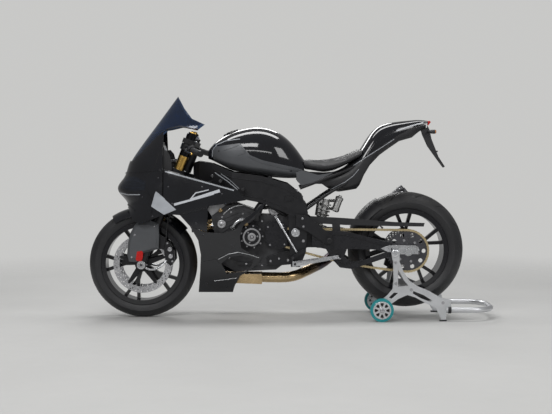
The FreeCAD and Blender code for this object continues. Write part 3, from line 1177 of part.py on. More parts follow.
node(less("paddock_stand", join("stand_whole", stand_side, mirror("stand_half_right", stand_side),
                                shaped("stand_handle", handle)),
          rod("spool_cradle", "spool_radius", "stand_side * 3", ("spool_x", "-stand_side * 1.5", "spool_z"))),
     "paddock_stand")
stand_rim = body("stand_rim")
rim_section = block("stand_axle_radius + running_gap", "stand_wheel_radius * 0.78", "-stand_wheel_wall / 2",
                    "stand_wheel_wall / 2")
turned(stand_rim, sketch(stand_rim, "XY_Plane", [rim_section], "stand_rim_section"))
rim_hole = circle("stand_wheel_radius * 0.48", "0", "stand_axle_radius * 0.9")
rim_slot = pocket(stand_rim, sketch(stand_rim, "XZ_Plane", [rim_hole], "stand_rim_slot"),
                  "stand_wheel_wall * 2")
around(stand_rim, [rim_slot], 8)
put(stand_rim, "stand_wheel_x", "stand_wheel_side", "stand_wheel_radius")
node(pair("stand_rims", stand_rim), "stand_rims")
stand_tyre = body("stand_tyre")
tyre_section = block("stand_wheel_radius * 0.78", "stand_wheel_radius", "-stand_wheel_wall / 2",
                     "stand_wheel_wall / 2")
turned(stand_tyre, sketch(stand_tyre, "XY_Plane", [tyre_section], "stand_tyre_section"))
put(stand_tyre, "stand_wheel_x", "stand_wheel_side", "stand_wheel_radius")
node(pair("stand_tyres", stand_tyre), "stand_tyres")


def finish():
    """Check every object and every sub-part, then write the sub-parts."""
    doc.recompute()
    for item in doc.Objects:
        if "Invalid" in item.State or "Error" in item.State:
            raise RuntimeError(f"{item.Name} failed: {item.State}")
    for item in NODES:
        if item.Shape.isNull() or not item.Shape.isValid():
            raise RuntimeError(f"{item.Label} has no valid shape")
    for item in NODES:
        item.Shape.exportStep(f"parts/{item.Label}.step")


finish()
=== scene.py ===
import functools
import json
import math
import bmesh
import bpy
from mathutils import Matrix, Vector
from mathutils.bvhtree import BVHTree


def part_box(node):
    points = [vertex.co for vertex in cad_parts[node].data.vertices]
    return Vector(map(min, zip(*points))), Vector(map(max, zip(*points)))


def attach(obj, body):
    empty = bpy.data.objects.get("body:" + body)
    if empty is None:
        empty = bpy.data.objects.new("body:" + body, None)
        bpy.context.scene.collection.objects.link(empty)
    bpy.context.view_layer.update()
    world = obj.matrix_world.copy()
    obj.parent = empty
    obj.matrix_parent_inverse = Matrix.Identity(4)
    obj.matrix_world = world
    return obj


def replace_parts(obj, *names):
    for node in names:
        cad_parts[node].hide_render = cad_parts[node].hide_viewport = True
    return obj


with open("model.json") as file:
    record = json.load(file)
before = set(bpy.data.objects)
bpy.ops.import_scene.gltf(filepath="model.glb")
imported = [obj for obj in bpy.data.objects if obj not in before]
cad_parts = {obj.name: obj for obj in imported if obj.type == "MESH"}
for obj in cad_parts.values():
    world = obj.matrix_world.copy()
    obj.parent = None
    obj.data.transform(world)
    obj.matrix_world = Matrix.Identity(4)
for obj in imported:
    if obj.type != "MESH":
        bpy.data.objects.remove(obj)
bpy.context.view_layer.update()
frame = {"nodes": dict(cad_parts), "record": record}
NODES = frame["nodes"]
JOINTS = {joint["name"]: joint for joint in frame["record"]["behaviour"]["joints"]}

# Places and directions, as the frame has them.
FRONT_AXLE = Vector(JOINTS["front_wheel_spin"]["pos_m"])
REAR_AXLE = Vector(JOINTS["rear_wheel_spin"]["pos_m"])
STAND_AXLE = Vector(JOINTS["stand_wheels_spin"]["pos_m"])
PROP = Vector(JOINTS["side_stand_swing"]["pos_m"])
UP_LEG = Vector(JOINTS["steering"]["axis"])
BEFORE_LEG = Vector((UP_LEG.z, 0, -UP_LEG.x))
LEFT, UP, FORWARD = Vector((0, 1, 0)), Vector((0, 0, 1)), Vector((1, 0, 0))
BOTH = (1, -1)
SIDES = ((1, LEFT), (-1, -LEFT))

# The side view: its eye, the picture point straight ahead of it, and a point's metres on the middle plane.
EYE = Vector((0.0811, 6.4, 0.9391))
EYE_PX = (276, 148)
POINT = 0.005557


def spot(px, py, side=0.0):
    """The place of a point of the side view on the plane at a given side."""
    scale = POINT * (1 - side / EYE.y)
    return Vector((EYE.x + (EYE_PX[0] - px) * scale, side, EYE.z + (EYE_PX[1] - py) * scale))


def spots(side, *points):
    return [spot(px, py, side) for px, py in points]


def beside(place, side):
    """The same place on the plane at another side."""
    return Vector((place.x, side, place.z))


def flipped(place, side):
    """The place itself for side 1, its mirror image for side -1."""
    return Vector((place.x, place.y * side, place.z))


def turns(count, spin=0.0):
    return [math.tau * step / count + spin for step in range(count)]


def turned(first, second, turn):
    """The direction at an angle from the first direction towards the second."""
    return first * math.cos(turn) + second * math.sin(turn)


def rim_spot(centre, radius, turn):
    return centre + turned(FORWARD, UP, turn) * radius


def circle_points(centre, radius, count, spin=0.0):
    """Places round a cross axis."""
    return [rim_spot(centre, radius, turn) for turn in turns(count, spin)]


def helix(start, run, first, second, count, radius, steps):
    """Places along a coil of so many turns about a run from a start."""
    return [start + run * (step / steps) + turned(first, second, math.tau * count * step / steps) * radius
            for step in range(steps + 1)]


def smooth_line(points, per_run=8):
    """A smooth curve through a few places."""
    line = []
    padded = [points[0] * 2 - points[1], *points, points[-1] * 2 - points[-2]]
    for one, two, three, four in zip(padded, padded[1:], padded[2:], padded[3:]):
        for t in (step / per_run for step in range(per_run)):
            line.append((two * 2 + (three - one) * t + (one * 2 - two * 5 + three * 4 - four) * t * t
                         + (two * 3 - one - three * 3 + four) * t * t * t) / 2)
    return line + [points[-1]]


def route(*points):
    """A smooth curve through points of the side view, each with its side."""
    return smooth_line([spot(*point) for point in points])


# Materials. Each one is built from noise at several scales: a broad one shifts the colour, a middle one the
# roughness, a fine one gives the grain as bump, and thin streaks leave scuffs.
class Nodes:
    """A node tree built by short calls. A socket is named with _ for a space, and None leaves it alone."""

    def __init__(self, tree):
        self.tree = tree
        tree.nodes.clear()

    def feed(self, socket, value):
        if isinstance(value, bpy.types.NodeSocket):
            self.tree.links.new(value, socket)
        elif value is not None:
            socket.default_value = value

    def set(self, node, **inputs):
        for name, value in inputs.items():
            self.feed(node.inputs[name.replace("_", " ")], value)

    def add(self, kind, settings=(), **inputs):
        node = self.tree.nodes.new("ShaderNode" + kind)
        for name, value in settings:
            setattr(node, name, value)
        self.set(node, **inputs)
        return node

    def fill(self, node, values, places=(0, 1, 2)):
        for place, value in zip(places, values):
            self.feed(node.inputs[place], value)
        return node

    def math(self, operation, *values):
        return self.fill(self.add("Math", [("operation", operation)]), values).outputs[0]

    def times(self, first, second):
        return self.math("MULTIPLY", first, second)

    def reach(self, across, up):
        return self.math("SQRT", self.math("ADD", self.times(across, across), self.times(up, up)))

    def span(self, value, low, high, start=0.3, end=0.7, kind="LINEAR"):
        return self.add("MapRange", [("interpolation_type", kind)], Value=value, From_Min=start, From_Max=end,
                        To_Min=low, To_Max=high).outputs[0]

    def mix(self, factor, first, second):
        node = self.add("Mix", [("data_type", "RGBA")])
        return self.fill(node, (factor, first, second), (0, 6, 7)).outputs[2]

    def blend(self, factor, first, second):
        return self.fill(self.add("MixShader"), (factor, first, second)).outputs[0]


class Shader(Nodes):
    def __init__(self, name):
        self.material = bpy.data.materials.new(name)
        self.material.use_nodes = True
        super().__init__(self.material.node_tree)
        self.bsdf = self.add("BsdfPrincipled")
        self.out = self.add("OutputMaterial", Surface=self.bsdf.outputs[0])
        self.place = self.add("TexCoord").outputs["Object"]

    def shine(self, **inputs):
        self.set(self.bsdf, **inputs)
        return self

    def noise(self, scale, detail=5.0, stretch=None):
        place = self.add("Mapping", Vector=self.place, Scale=stretch).outputs[0] if stretch else self.place
        return self.add("TexNoise", Scale=scale, Detail=detail, Vector=place).outputs["Fac"]

    def bump(self, height, strength, distance=0.0004, under=None):
        return self.add("Bump", Strength=strength, Distance=distance, Height=height, Normal=under).outputs[0]

    def axis(self, letter):
        return self.add("SeparateXYZ", Vector=self.place).outputs[letter]

    def from_centre(self, centre):
        """How far ahead of a centre, and how far over it."""
        ahead = self.math("SUBTRACT", self.axis("X"), centre.x)
        return ahead, self.math("SUBTRACT", self.axis("Z"), centre.z)


def shade(color, factor):
    return (*(min(part * factor, 1) for part in color), 1)


def surface(name, color, rough, metal=0.0, coat=0.0, tone=0.12, tone_scale=7.0, grain=0.12, grain_scale=500.0,
            rough_span=0.05, stretch=None, scuff=0.0, dust=0.0, edge=0.0):
    look = Shader(name)
    cloud = look.span(look.noise(tone_scale), 0, 1)
    look.tint = look.mix(cloud, shade(color, 1 - tone), shade(color, 1 + tone))
    if dust:
        facing = look.add("SeparateXYZ", Vector=look.add("NewGeometry").outputs["Normal"])
        settled = look.times(look.span(facing.outputs["Z"], 0, dust, 0.35, 1.0),
                             look.span(look.noise(24, 6), 0.3, 1.0))
        look.tint = look.mix(settled, look.tint, (0.2, 0.19, 0.17, 1))
    roughness = look.span(look.noise(tone_scale * 5, 8), max(rough - rough_span, 0.02), rough + rough_span)
    if scuff:
        roughness = look.math("ADD", roughness, look.span(look.noise(55, 3, (1, 4, 9)), 0, scuff, 0.6, 0.72))
    rounded = look.add("Bevel", [("samples", 4)], Radius=edge).outputs[0] if edge else None
    look.normal = look.bump(look.noise(grain_scale, 3, stretch), grain, under=rounded)
    return look.shine(Base_Color=look.tint, Roughness=roughness, Metallic=metal, Coat_Weight=coat,
                      Coat_Roughness=0.03, Specular_IOR_Level=0.15 if coat else None, Normal=look.normal)


def rubber_tyre(name, centre, radius, crown):
    """Rubber with slanted grooves in the tread and fine rings on the sidewall; the grooves are also darker,
    as painted shade.
    """
    look = surface(name, (0.015, 0.015, 0.017), 0.46, tone=0.2, grain=0.25, grain_scale=900, dust=0.12)
    across, up = look.from_centre(centre)
    distance = look.reach(across, up)
    side = look.math("ABSOLUTE", look.axis("Y"))
    tread = look.span(distance, 0, 1, radius - crown * 0.62, radius - crown * 0.5)
    angle = look.math("ARCTAN2", up, across)
    twist = look.math("ADD", look.times(angle, 14 / math.tau), look.times(side, 9.0))
    wave = look.math("ABSOLUTE", look.math("SUBTRACT", look.math("FRACT", twist), 0.5))
    groove = look.times(look.span(side, 0, 1, 0.012, 0.016), tread)
    groove = look.times(look.span(wave, 1, 0, 0.03, 0.06), groove)
    ring = look.span(look.math("SINE", look.times(distance, 900.0)), 0, 1, 0.6, 1.0)
    ring = look.times(ring, look.math("SUBTRACT", 1.0, tread))
    height = look.math("SUBTRACT", look.times(ring, 0.25), groove)
    # The grooves are painted darker than the tread: painted shade in the recesses.
    return look.shine(Normal=look.bump(height, 0.8, 0.0015, look.normal),
                      Base_Color=look.mix(groove, look.tint, (0.006, 0.006, 0.006, 1)))


def waved(look, value, frequency, strength, distance):
    """Fine ribs or rings, one for each wave of a value."""
    wave = look.math("SINE", look.times(value, frequency))
    return look.shine(Normal=look.bump(wave, strength, distance, look.normal))


def turned_metal(name, color, rough, centre):
    """Metal with the rings that turning and the brake pads leave."""
    look = surface(name, color, rough, metal=1.0, tone=0.1, grain=0.08)
    return waved(look, look.reach(*look.from_centre(centre)), 5200.0, 0.12, 0.0003)


def ribbed(look, letter, frequency, strength, distance=0.001):
    """Parallel ribs across one axis."""
    return waved(look, look.axis(letter), frequency, strength, distance)


def striped(look, lines, color):
    """Straight plain stripes between two places of the side view: start, end, width at each end."""
    tint = look.tint
    for start, end, first, last in lines:
        run = (end - start).normalized()
        across, up = look.from_centre(start)
        along = look.math("ADD", look.times(across, run.x), look.times(up, run.z))
        off = look.math("ABSOLUTE", look.math("SUBTRACT", look.times(across, run.z), look.times(up, run.x)))
        share = look.math("DIVIDE", along, (end - start).length)
        inside = look.math("LESS_THAN", off, look.math("ADD", look.times(share, last - first), first))
        inside = look.times(inside, look.math("GREATER_THAN", share, 0.0))
        inside = look.times(inside, look.math("LESS_THAN", share, 1.0))
        tint = look.mix(inside, tint, (*color, 1))
    return look.shine(Base_Color=tint)


def shaded_behind(look, start, end):
    """Pipes painted dark and blue behind a place along the bike: painted shade on the run to the silencer."""
    shade_share = look.span(look.axis("X"), 1, 0, end, start)
    shade_tint = look.mix(look.span(look.noise(14), 0, 1), (0.1, 0.07, 0.06, 1), (0.05, 0.05, 0.07, 1))
    return look.shine(Base_Color=look.mix(shade_share, look.tint, shade_tint))


def capped(look, height):
    """Fork tube whose upper end is black from a height along the leg."""
    ahead, up = look.from_centre(FRONT_AXLE)
    along = look.math("ADD", look.times(ahead, UP_LEG.x), look.times(up, UP_LEG.z))
    dark = look.math("GREATER_THAN", along, height)
    return look.shine(Base_Color=look.mix(dark, look.tint, (0.02, 0.02, 0.022, 1)))


def clear(name, color, rough, through):
    look = surface(name, color, rough, coat=0.6, grain=0.01, tone=0.1, rough_span=0.02)
    return look.shine(Transmission_Weight=through, IOR=1.3)


def panel(name, **wear):
    return surface(name, (0.0065, 0.007, 0.0095), 0.12, coat=1.0, grain=0.02, grain_scale=240, tone=0.25,
                   edge=0.004, **wear)


def fork_gold(name):
    return surface(name, (0.72, 0.45, 0.12), 0.22, metal=1.0, grain=0.04, grain_scale=300, tone=0.08)


GLOSS = panel("gloss_black", scuff=0.04, dust=0.015)
PANEL_SIDE = 0.2
STRIPED = striped(panel("gloss_black_striped"),
                  [(*spots(PANEL_SIDE, (174, 204.5), (214, 193.6)), 0.0065, 0.004),
                   (*spots(PANEL_SIDE, (190, 199), (220, 190.5)), 0.003, 0.0085),
                   (*spots(PANEL_SIDE, (190.5, 199), (196, 192.5)), 0.003, 0.0032),
                   (*spots(PANEL_SIDE, (195.5, 192.8), (209, 189.6)), 0.0032, 0.0026)], (0.6, 0.62, 0.66))
SATIN = surface("satin_black_alloy", (0.014, 0.014, 0.016), 0.34, metal=0.3, grain=0.14, scuff=0.2, dust=0.03,
                edge=0.0025)
ARM = surface("swingarm_black", (0.02, 0.02, 0.023), 0.28, metal=0.35, grain=0.1, scuff=0.15, dust=0.04,
              edge=0.0035)
RIM = surface("rim_gloss_black", (0.008, 0.008, 0.01), 0.16, coat=0.9, grain=0.03, tone=0.2, scuff=0.05,
              edge=0.0025)
GREY = surface("matte_grey_panel", (0.085, 0.089, 0.096), 0.4, metal=0.2, grain=0.2, grain_scale=1400,
               tone=0.1, dust=0.02, edge=0.003)
PLASTIC = surface("black_plastic", (0.012, 0.012, 0.014), 0.46, grain=0.35, grain_scale=1100, tone=0.15,
                  dust=0.05, edge=0.002)
SILVER = surface("brushed_silver", (0.66, 0.67, 0.69), 0.27, metal=1.0, grain=0.07, grain_scale=300,
                 stretch=(1, 1, 8), scuff=0.2, edge=0.0012)
STAND = surface("stand_silver", (0.66, 0.67, 0.69), 0.34, metal=0.8, grain=0.12, grain_scale=300, tone=0.1,
                scuff=0.25, dust=0.06, edge=0.0015)
STEEL = surface("sprocket_steel", (0.11, 0.11, 0.12), 0.3, metal=0.9, grain=0.1, tone=0.2, scuff=0.2,
                edge=0.001)
DISC = turned_metal("disc_steel", (0.56, 0.56, 0.58), 0.26, FRONT_AXLE)
REAR_DISC = turned_metal("rear_disc_steel", (0.52, 0.52, 0.54), 0.3, REAR_AXLE)
CARRIER = surface("disc_carrier_black", (0.014, 0.014, 0.016), 0.35, metal=0.4, grain=0.15)
CHAIN = surface("chain_gold", (0.66, 0.54, 0.32), 0.32, metal=1.0, grain=0.3, grain_scale=900, tone=0.2)
GOLD = fork_gold("fork_gold")
FORK = capped(fork_gold("fork_gold_tube"), 0.64)
ENGINE = surface("engine_cast", (0.05, 0.05, 0.053), 0.42, metal=0.6, grain=0.5, grain_scale=700, tone=0.35,
                 tone_scale=18, scuff=0.15, dust=0.08, edge=0.002)
CAST = surface("cast_aluminium", (0.42, 0.42, 0.43), 0.38, metal=0.9, grain=0.45, grain_scale=600, tone=0.2,
               scuff=0.2, dust=0.05, edge=0.0015)
COVER = surface("engine_cover", (0.022, 0.022, 0.025), 0.28, metal=0.5, grain=0.25, grain_scale=900,
                scuff=0.2, edge=0.002)
# The exhaust pipes carry painted shade: dark and blue on their run behind a place along the bike.
BRONZE = shaded_behind(surface("bronze_pipe", (0.6, 0.44, 0.24), 0.24, metal=1.0, grain=0.05, tone=0.3, tone_scale=9,
                       scuff=0.12, edge=0.002), spot(300, 275).x, spot(322, 268).x)
MUFFLER = surface("silencer_metal", (0.04, 0.04, 0.044), 0.38, metal=0.8, grain=0.05, stretch=(1, 8, 8),
                  scuff=0.1, edge=0.002)
SHOCK = surface("shock_silver", (0.66, 0.66, 0.65), 0.26, metal=1.0, grain=0.1)
# Pale grey that paints light on gloss black: the reflection of the bright floor on the winglets, and
# highlights along edges.
PAINTED_HIGHLIGHT = surface("painted_highlight_pale", (0.4, 0.42, 0.45), 0.22, coat=1.0, grain=0.03, tone=0.12, tone_scale=16)
TEAL = surface("stand_tyre_teal", (0.01, 0.23, 0.25), 0.42, grain=0.3, tone=0.15, scuff=0.15)
GRIP = ribbed(surface("grip_rubber", (0.018, 0.018, 0.02), 0.65, grain=0.4, grain_scale=900), "Y", 1400.0,
              0.6)
HOSE = ribbed(surface("braided_hose", (0.022, 0.022, 0.024), 0.42, grain=0.3, grain_scale=1200), "Z", 2400.0,
              0.4)
FINS = ribbed(surface("radiator_fins", (0.045, 0.045, 0.047), 0.5, metal=0.6), "Z", 2600.0, 0.9, 0.0012)
FRONT_RUBBER = rubber_tyre("front_tyre_rubber", FRONT_AXLE, 0.3, 0.038)
REAR_RUBBER = rubber_tyre("rear_tyre_rubber", REAR_AXLE, 0.32, 0.056)
SEAT = surface("seat_leather", (0.014, 0.014, 0.016), 0.5, grain=0.7, grain_scale=420, tone=0.18, dust=0.04)
THREAD = surface("seat_thread", (0.1, 0.1, 0.105), 0.6, grain=0.5, grain_scale=1500)
RED = surface("red_gloss", (0.5, 0.012, 0.01), 0.25, coat=0.8, grain=0.05)
BOLT = surface("bolt_steel", (0.52, 0.52, 0.54), 0.26, metal=1.0, grain=0.1, scuff=0.2)
DARK_BOLT = surface("bolt_black", (0.05, 0.05, 0.055), 0.35, metal=0.8, grain=0.15)
AMBER = surface("signal_amber", (0.45, 0.15, 0.02), 0.2, coat=1.0, grain=0.1, grain_scale=200)
LED = surface("led_pale", (0.72, 0.78, 0.88), 0.25, coat=0.5, grain=0.1)
FACE = surface("display_glass", (0.01, 0.013, 0.018), 0.08, coat=1.0, grain=0.01)
# Near black for the dark joints between panels, and for painted shade: the plates in the stand wheels'
# windows.
GAP_AND_SHADE = surface("gap_and_painted_shade", (0.003, 0.003, 0.003), 0.7, grain=0.1)
SCREEN = clear("screen_tint", (0.06, 0.1, 0.19), 0.04, 0.88)
LENS = clear("lamp_lens", (0.05, 0.06, 0.085), 0.05, 0.82)

# The nodes that each look covers.
FINISHES = {
    GLOSS: "fuel_tank tail_cowl nose_fairing belly_pan front_fender",
    STRIPED: "side_fairings",
    SATIN: "fork_legs triple_clamps main_frame subframe handlebars front_calipers rear_caliper footrests"
           " foot_controls levers fairing_stays",
    ARM: "swingarm",
    RIM: "front_rim rear_rim",
    GREY: "tank_side_covers wheel_covers",
    PLASTIC: "tail_side_panels plate_bracket rear_hugger chain_guard instrument_display",
    SILVER: "front_axle rear_axle side_stand lift_spools stand_rims",
    STAND: "paddock_stand",
    STEEL: "rear_sprocket front_sprocket",
    DISC: "front_discs",
    REAR_DISC: "rear_disc",
    CHAIN: "drive_chain",
    FORK: "fork_outer_tubes",
    ENGINE: "engine_block",
    CAST: "cam_cover",
    COVER: "engine_covers",
    BRONZE: "exhaust_pipes",
    MUFFLER: "muffler",
    SHOCK: "shock_absorber",
    # Painted reflection: the gloss black winglets are coloured pale grey.
    PAINTED_HIGHLIGHT: "winglets",
    TEAL: "stand_tyres",
    GRIP: "grips",
    HOSE: "brake_hoses",
    FINS: "radiator",
    FRONT_RUBBER: "front_tyre",
    REAR_RUBBER: "rear_tyre",
    SEAT: "seat",
    RED: "tail_lamp",
    SCREEN: "windscreen",
    LENS: "headlamps",
}
for look, names in FINISHES.items():
    for name in names.split():
        slots = NODES[name].material_slots
        if slots:
            slots[0].material = look.material
        else:
            NODES[name].data.materials.append(look.material)


# Places on the surface of a node, found along the line of sight of the side view.
def skin(mesh):
    return BVHTree.FromPolygons([vert.co.copy() for vert in mesh.vertices],
                                [tuple(face.vertices) for face in mesh.polygons])


@functools.cache
def skin_of(node):
    return skin(NODES[node].data)


def land(node, px, py, side=1):
    """Where a point of the side view, or of its mirror image, meets a node, and the way it faces there."""
    eye = flipped(EYE, side)
    sight = (spot(px, py) - eye).normalized()
    place, facing, _, _ = skin_of(node).ray_cast(eye, sight)
    if place is None:
        return None
    return place, -facing if facing.dot(sight) > 0 else facing


def trace(node, corners, side=1, step=2.0):
    """Landed places along a line through the corners, about a step of picture points apart."""
    found = []
    for start, end in zip(corners, corners[1:]):
        count = max(1, round(math.dist(start, end) / step))
        for share in (number / count for number in range(count + (end == corners[-1]))):
            px, py = (first + (last - first) * share for first, last in zip(start, end))
            found.append(land(node, px, py, side))
    return [hit for hit in found if hit]


# Mesh helpers. A Form gathers many small shapes into one mesh.
class Form:
    def __init__(self):
        self.mesh = bmesh.new()

    def ring(self, centre, first, second, radius, count):
        return [self.mesh.verts.new(centre + turned(first, second, turn) * radius) for turn in turns(count)]

    def bridge(self, first, second):
        count = len(first)
        for place in range(count):
            follower = (place + 1) % count
            self.mesh.faces.new((first[place], first[follower], second[follower], second[place]))

    def wrap(self, rings, closed=False):
        """Walls from ring to ring, with both ends filled or joined to each other."""
        for low, high in zip(rings, rings[1:]):
            self.bridge(low, high)
        if closed:
            self.bridge(rings[-1], rings[0])
        else:
            self.mesh.faces.new(rings[0][::-1])
            self.mesh.faces.new(rings[-1])

    def lathe(self, start, axis, profile, count=24, closed=False):
        """Turn a profile of (distance along the axis, radius) round it."""
        axis = axis.normalized()
        first = axis.orthogonal().normalized()
        self.wrap([self.ring(start + axis * along, first, axis.cross(first), radius, count)
                   for along, radius in profile], closed)

    def rim(self, start, axis, radius, profile, count):
        """A closed ring whose profile has its radii as shares of one radius."""
        self.lathe(start, axis, [(along, radius * share) for along, share in profile], count, True)

    def bolt(self, place, axis, radius, height):
        """Round head with a hexagon socket."""
        axis = axis.normalized()
        first = axis.orthogonal().normalized()
        self.lathe(place, axis, [(0, radius * 0.98), (height * 0.8, radius), (height, radius * 0.86)], 16)
        lip, deep = (self.ring(place + axis * height * rise, first, axis.cross(first), radius * share, 6)
                     for rise, share in ((1.01, 0.55), (0.9, 0.5)))
        self.bridge(deep, lip)
        self.mesh.faces.new(deep)

    def nut(self, place, axis, radius, height):
        """Hexagon nut with a stud through it."""
        self.lathe(place, axis, [(0, radius), (height * 0.9, radius), (height, radius * 0.9)], 6)
        self.lathe(place, axis, [(height, radius * 0.5), (height * 1.4, radius * 0.5),
                                 (height * 1.5, radius * 0.42)], 12)

    def slab(self, outline, offset):
        """Thicken a flat outline."""
        self.wrap([[self.mesh.verts.new(point + shift) for point in outline] for shift in (Vector(), offset)])

    def plate(self, origin, first, second, corners, offset):
        """A slab whose corners are counted along two directions from an origin."""
        self.slab([origin + first * one + second * two for one, two in corners], offset)

    def tube(self, points, radius, count=8, swell=None):
        """Round bar along a line; swell gives the radius as a share at each place."""
        rings = []
        for place, point in enumerate(points):
            axis = (points[min(place + 1, len(points) - 1)] - points[max(place - 1, 0)]).normalized()
            first = axis.cross(LEFT)
            first = first.normalized() if first.length > 0.05 else axis.cross(UP).normalized()
            reach = radius * (swell(place / (len(points) - 1)) if swell else 1)
            rings.append(self.ring(point, first, axis.cross(first), reach, count))
        self.wrap(rings)

    def ribbon(self, places, width, lift, sink=0.0006):
        """Raised strip with chamfered edges that lies on a surface along landed places."""
        rows = []
        half = width / 2
        for number, (place, facing) in enumerate(places):
            along = places[min(number + 1, len(places) - 1)][0] - places[max(number - 1, 0)][0]
            across = along.cross(facing)
            if across.length > 1e-9:
                across.normalize()
                rows.append([self.mesh.verts.new(place + across * reach + facing * up) for reach, up in
                             ((-half, -sink), (half, -sink), (half * 0.75, lift), (-half * 0.75, lift))])
        if rows:
            self.wrap(rows)

    def piece(self, name, look, slot=None, body="chassis", angle=35):
        bmesh.ops.recalc_face_normals(self.mesh, faces=self.mesh.faces)
        data = bpy.data.meshes.new(name)
        self.mesh.to_mesh(data)
        self.mesh.free()
        data.shade_smooth()
        data.set_sharp_from_angle(angle=math.radians(angle))
        data.materials.append(look.material)
        item = added(name, data)
        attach(item, body)
        return item


def added(name, data):
    item = bpy.data.objects.new(name, data)
    bpy.context.scene.collection.objects.link(item)
    return item


# Brake discs: a drilled band on a carrier with five arms, the band cut from one flat outline with holes.
FRONT_DISC_SIDE, REAR_DISC_SIDE = 0.062, -0.108
DISC_BAND, DISC_WALL = 0.034, 0.005
HOLE, HOLES_ROUND = 0.0034, 30
ARM_SPIN = math.radians(90)


def circle(radius, count, spin=0.0, centre=(0, 0)):
    return [(centre[0] + radius * math.cos(turn), centre[1] + radius * math.sin(turn))
            for turn in turns(count, spin)]


def drilled_band(middle, radius):
    inner = radius - DISC_BAND
    outlines = [circle(radius, 96), circle(inner, 72)]
    for row, share in enumerate((0.22, 0.5, 0.78)):
        holes = circle(inner + DISC_BAND * share, HOLES_ROUND, math.tau * row * 0.35 / HOLES_ROUND)
        outlines += [circle(HOLE, 10, centre=hole) for hole in holes]
    curve = bpy.data.curves.new("band", "CURVE")
    curve.dimensions = "2D"
    curve.fill_mode = "BOTH"
    curve.extrude = DISC_WALL / 2
    for outline in outlines:
        line = curve.splines.new("POLY")
        line.points.add(len(outline) - 1)
        line.use_cyclic_u = True
        for point, (across, up) in zip(line.points, outline):
            point.co = (across, up, 0, 1)
    holder = bpy.data.objects.new("band", curve)
    mesh = bpy.data.meshes.new_from_object(holder)
    mesh.transform(Matrix.Translation(middle) @ Matrix.Rotation(math.pi / 2, 4, "X"))
    bpy.data.objects.remove(holder)
    return mesh


def drilled_disc(node, body, look, axle, sides, radius):
    bands, carrier = Form(), Form()
    for side in sides:
        middle = axle + LEFT * side
        away = LEFT * math.copysign(1, side)
        bands.mesh.from_mesh(drilled_band(middle, radius))
        end = radius - DISC_BAND + 0.004
        arm = ((0.036, -0.016), (end, -0.008), (end, 0.008), (0.036, 0.016))
        for turn in turns(5, ARM_SPIN):
            along = turned(FORWARD, UP, turn)
            carrier.plate(middle - away * DISC_WALL * 0.42, along, along.cross(LEFT), arm,
                          away * DISC_WALL * 0.84)
            carrier.bolt(middle + along * (end - 0.004) + away * DISC_WALL * 0.4, away, 0.0068, 0.0024)
        carrier.lathe(middle - away * DISC_WALL * 0.45, away,
                      [(0, 0.022), (0, 0.042), (DISC_WALL * 0.9, 0.042), (DISC_WALL * 0.9, 0.022)], 40, True)
        for place in circle_points(middle + away * DISC_WALL * 0.45, 0.032, 5, ARM_SPIN + math.radians(36)):
            carrier.bolt(place, away, 0.0048, 0.003)
    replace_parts(bands.piece(node + "_drilled", look, body=body, angle=30), node)
    carrier.piece(node + "_drilled_carrier", CARRIER, body=body, angle=30)


drilled_disc("front_discs", "front_wheel", DISC, FRONT_AXLE, (FRONT_DISC_SIDE, -FRONT_DISC_SIDE), 0.16)
drilled_disc("rear_disc", "rear_wheel", REAR_DISC, REAR_AXLE, (REAR_DISC_SIDE,), 0.11)

# Drive chain: side plates, bushes and rollers at every link along the loop round both sprockets.
DRIVE = Vector((0.06, 0, 0.456))
REAR_PITCH_RADIUS, DRIVE_PITCH_RADIUS = 0.1138, 0.0432
CHAIN_SIDE, CHAIN_SAG, PITCH = 0.113, 0.022, 0.015875
INNER_PLATE, OUTER_PLATE, PLATE_WALL = 0.005, 0.0072, 0.002
PLATE_RADIUS, PLATE_WAIST = 0.0066, 0.0046


def arc(centre, radius, start, sweep, steps):
    return [rim_spot(centre, radius, start + sweep * step / steps) for step in range(steps + 1)]


def chain_places():
    """The pins of the links, counted from the top of the rear sprocket."""
    gap = DRIVE - REAR_AXLE
    heading = math.atan2(gap.z, gap.x)
    lean = math.acos((REAR_PITCH_RADIUS - DRIVE_PITCH_RADIUS) / gap.length)
    drive = arc(DRIVE, DRIVE_PITCH_RADIUS, heading + lean, -2 * lean, 40)
    rear = arc(REAR_AXLE, REAR_PITCH_RADIUS, heading - lean, 2 * lean - math.tau, 60)
    slack = [drive[-1].lerp(rear[0], share) - UP * CHAIN_SAG * 4 * share * (1 - share)
             for share in (step / 40 for step in range(1, 40))]
    line = [rear[-1], *drive, *slack, *rear]
    runs = [(after - before).length for before, after in zip(line, line[1:])]
    count = 2 * round(sum(runs) / PITCH / 2)
    places, reached = [], 0.0
    for before, after, run in zip(line, line[1:], runs):
        while len(places) < count and len(places) * sum(runs) / count <= reached + run:
            places.append(before.lerp(after, (len(places) * sum(runs) / count - reached) / run))
        reached += run
    return places


chain = Form()
stations = chain_places()
for number, (here, there) in enumerate(zip(stations, stations[1:] + stations[:1])):
    along = (there - here).normalized()
    up = LEFT.cross(along)
    outline = []
    for pin, spin, waist in ((here, 0.5, -PLATE_WAIST), (there, -0.5, PLATE_WAIST)):
        outline += [pin + turned(along, up, math.pi * (spin + step / 6)) * PLATE_RADIUS for step in range(7)]
        outline.append(here.lerp(there, 0.5) + up * waist)
    offset = OUTER_PLATE if number % 2 else INNER_PLATE
    for side in (CHAIN_SIDE + offset, CHAIN_SIDE - offset - PLATE_WALL):
        chain.slab([point + LEFT * side for point in outline], LEFT * PLATE_WALL)
    chain.lathe(here + LEFT * (CHAIN_SIDE - 0.0085), LEFT,
                [(0, 0.0026), (0.0035, 0.0026), (0.0035, 0.0048), (0.0135, 0.0048), (0.0135, 0.0026),
                 (0.017, 0.0026)], 10)
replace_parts(chain.piece("drive_chain_links", CHAIN), "drive_chain")

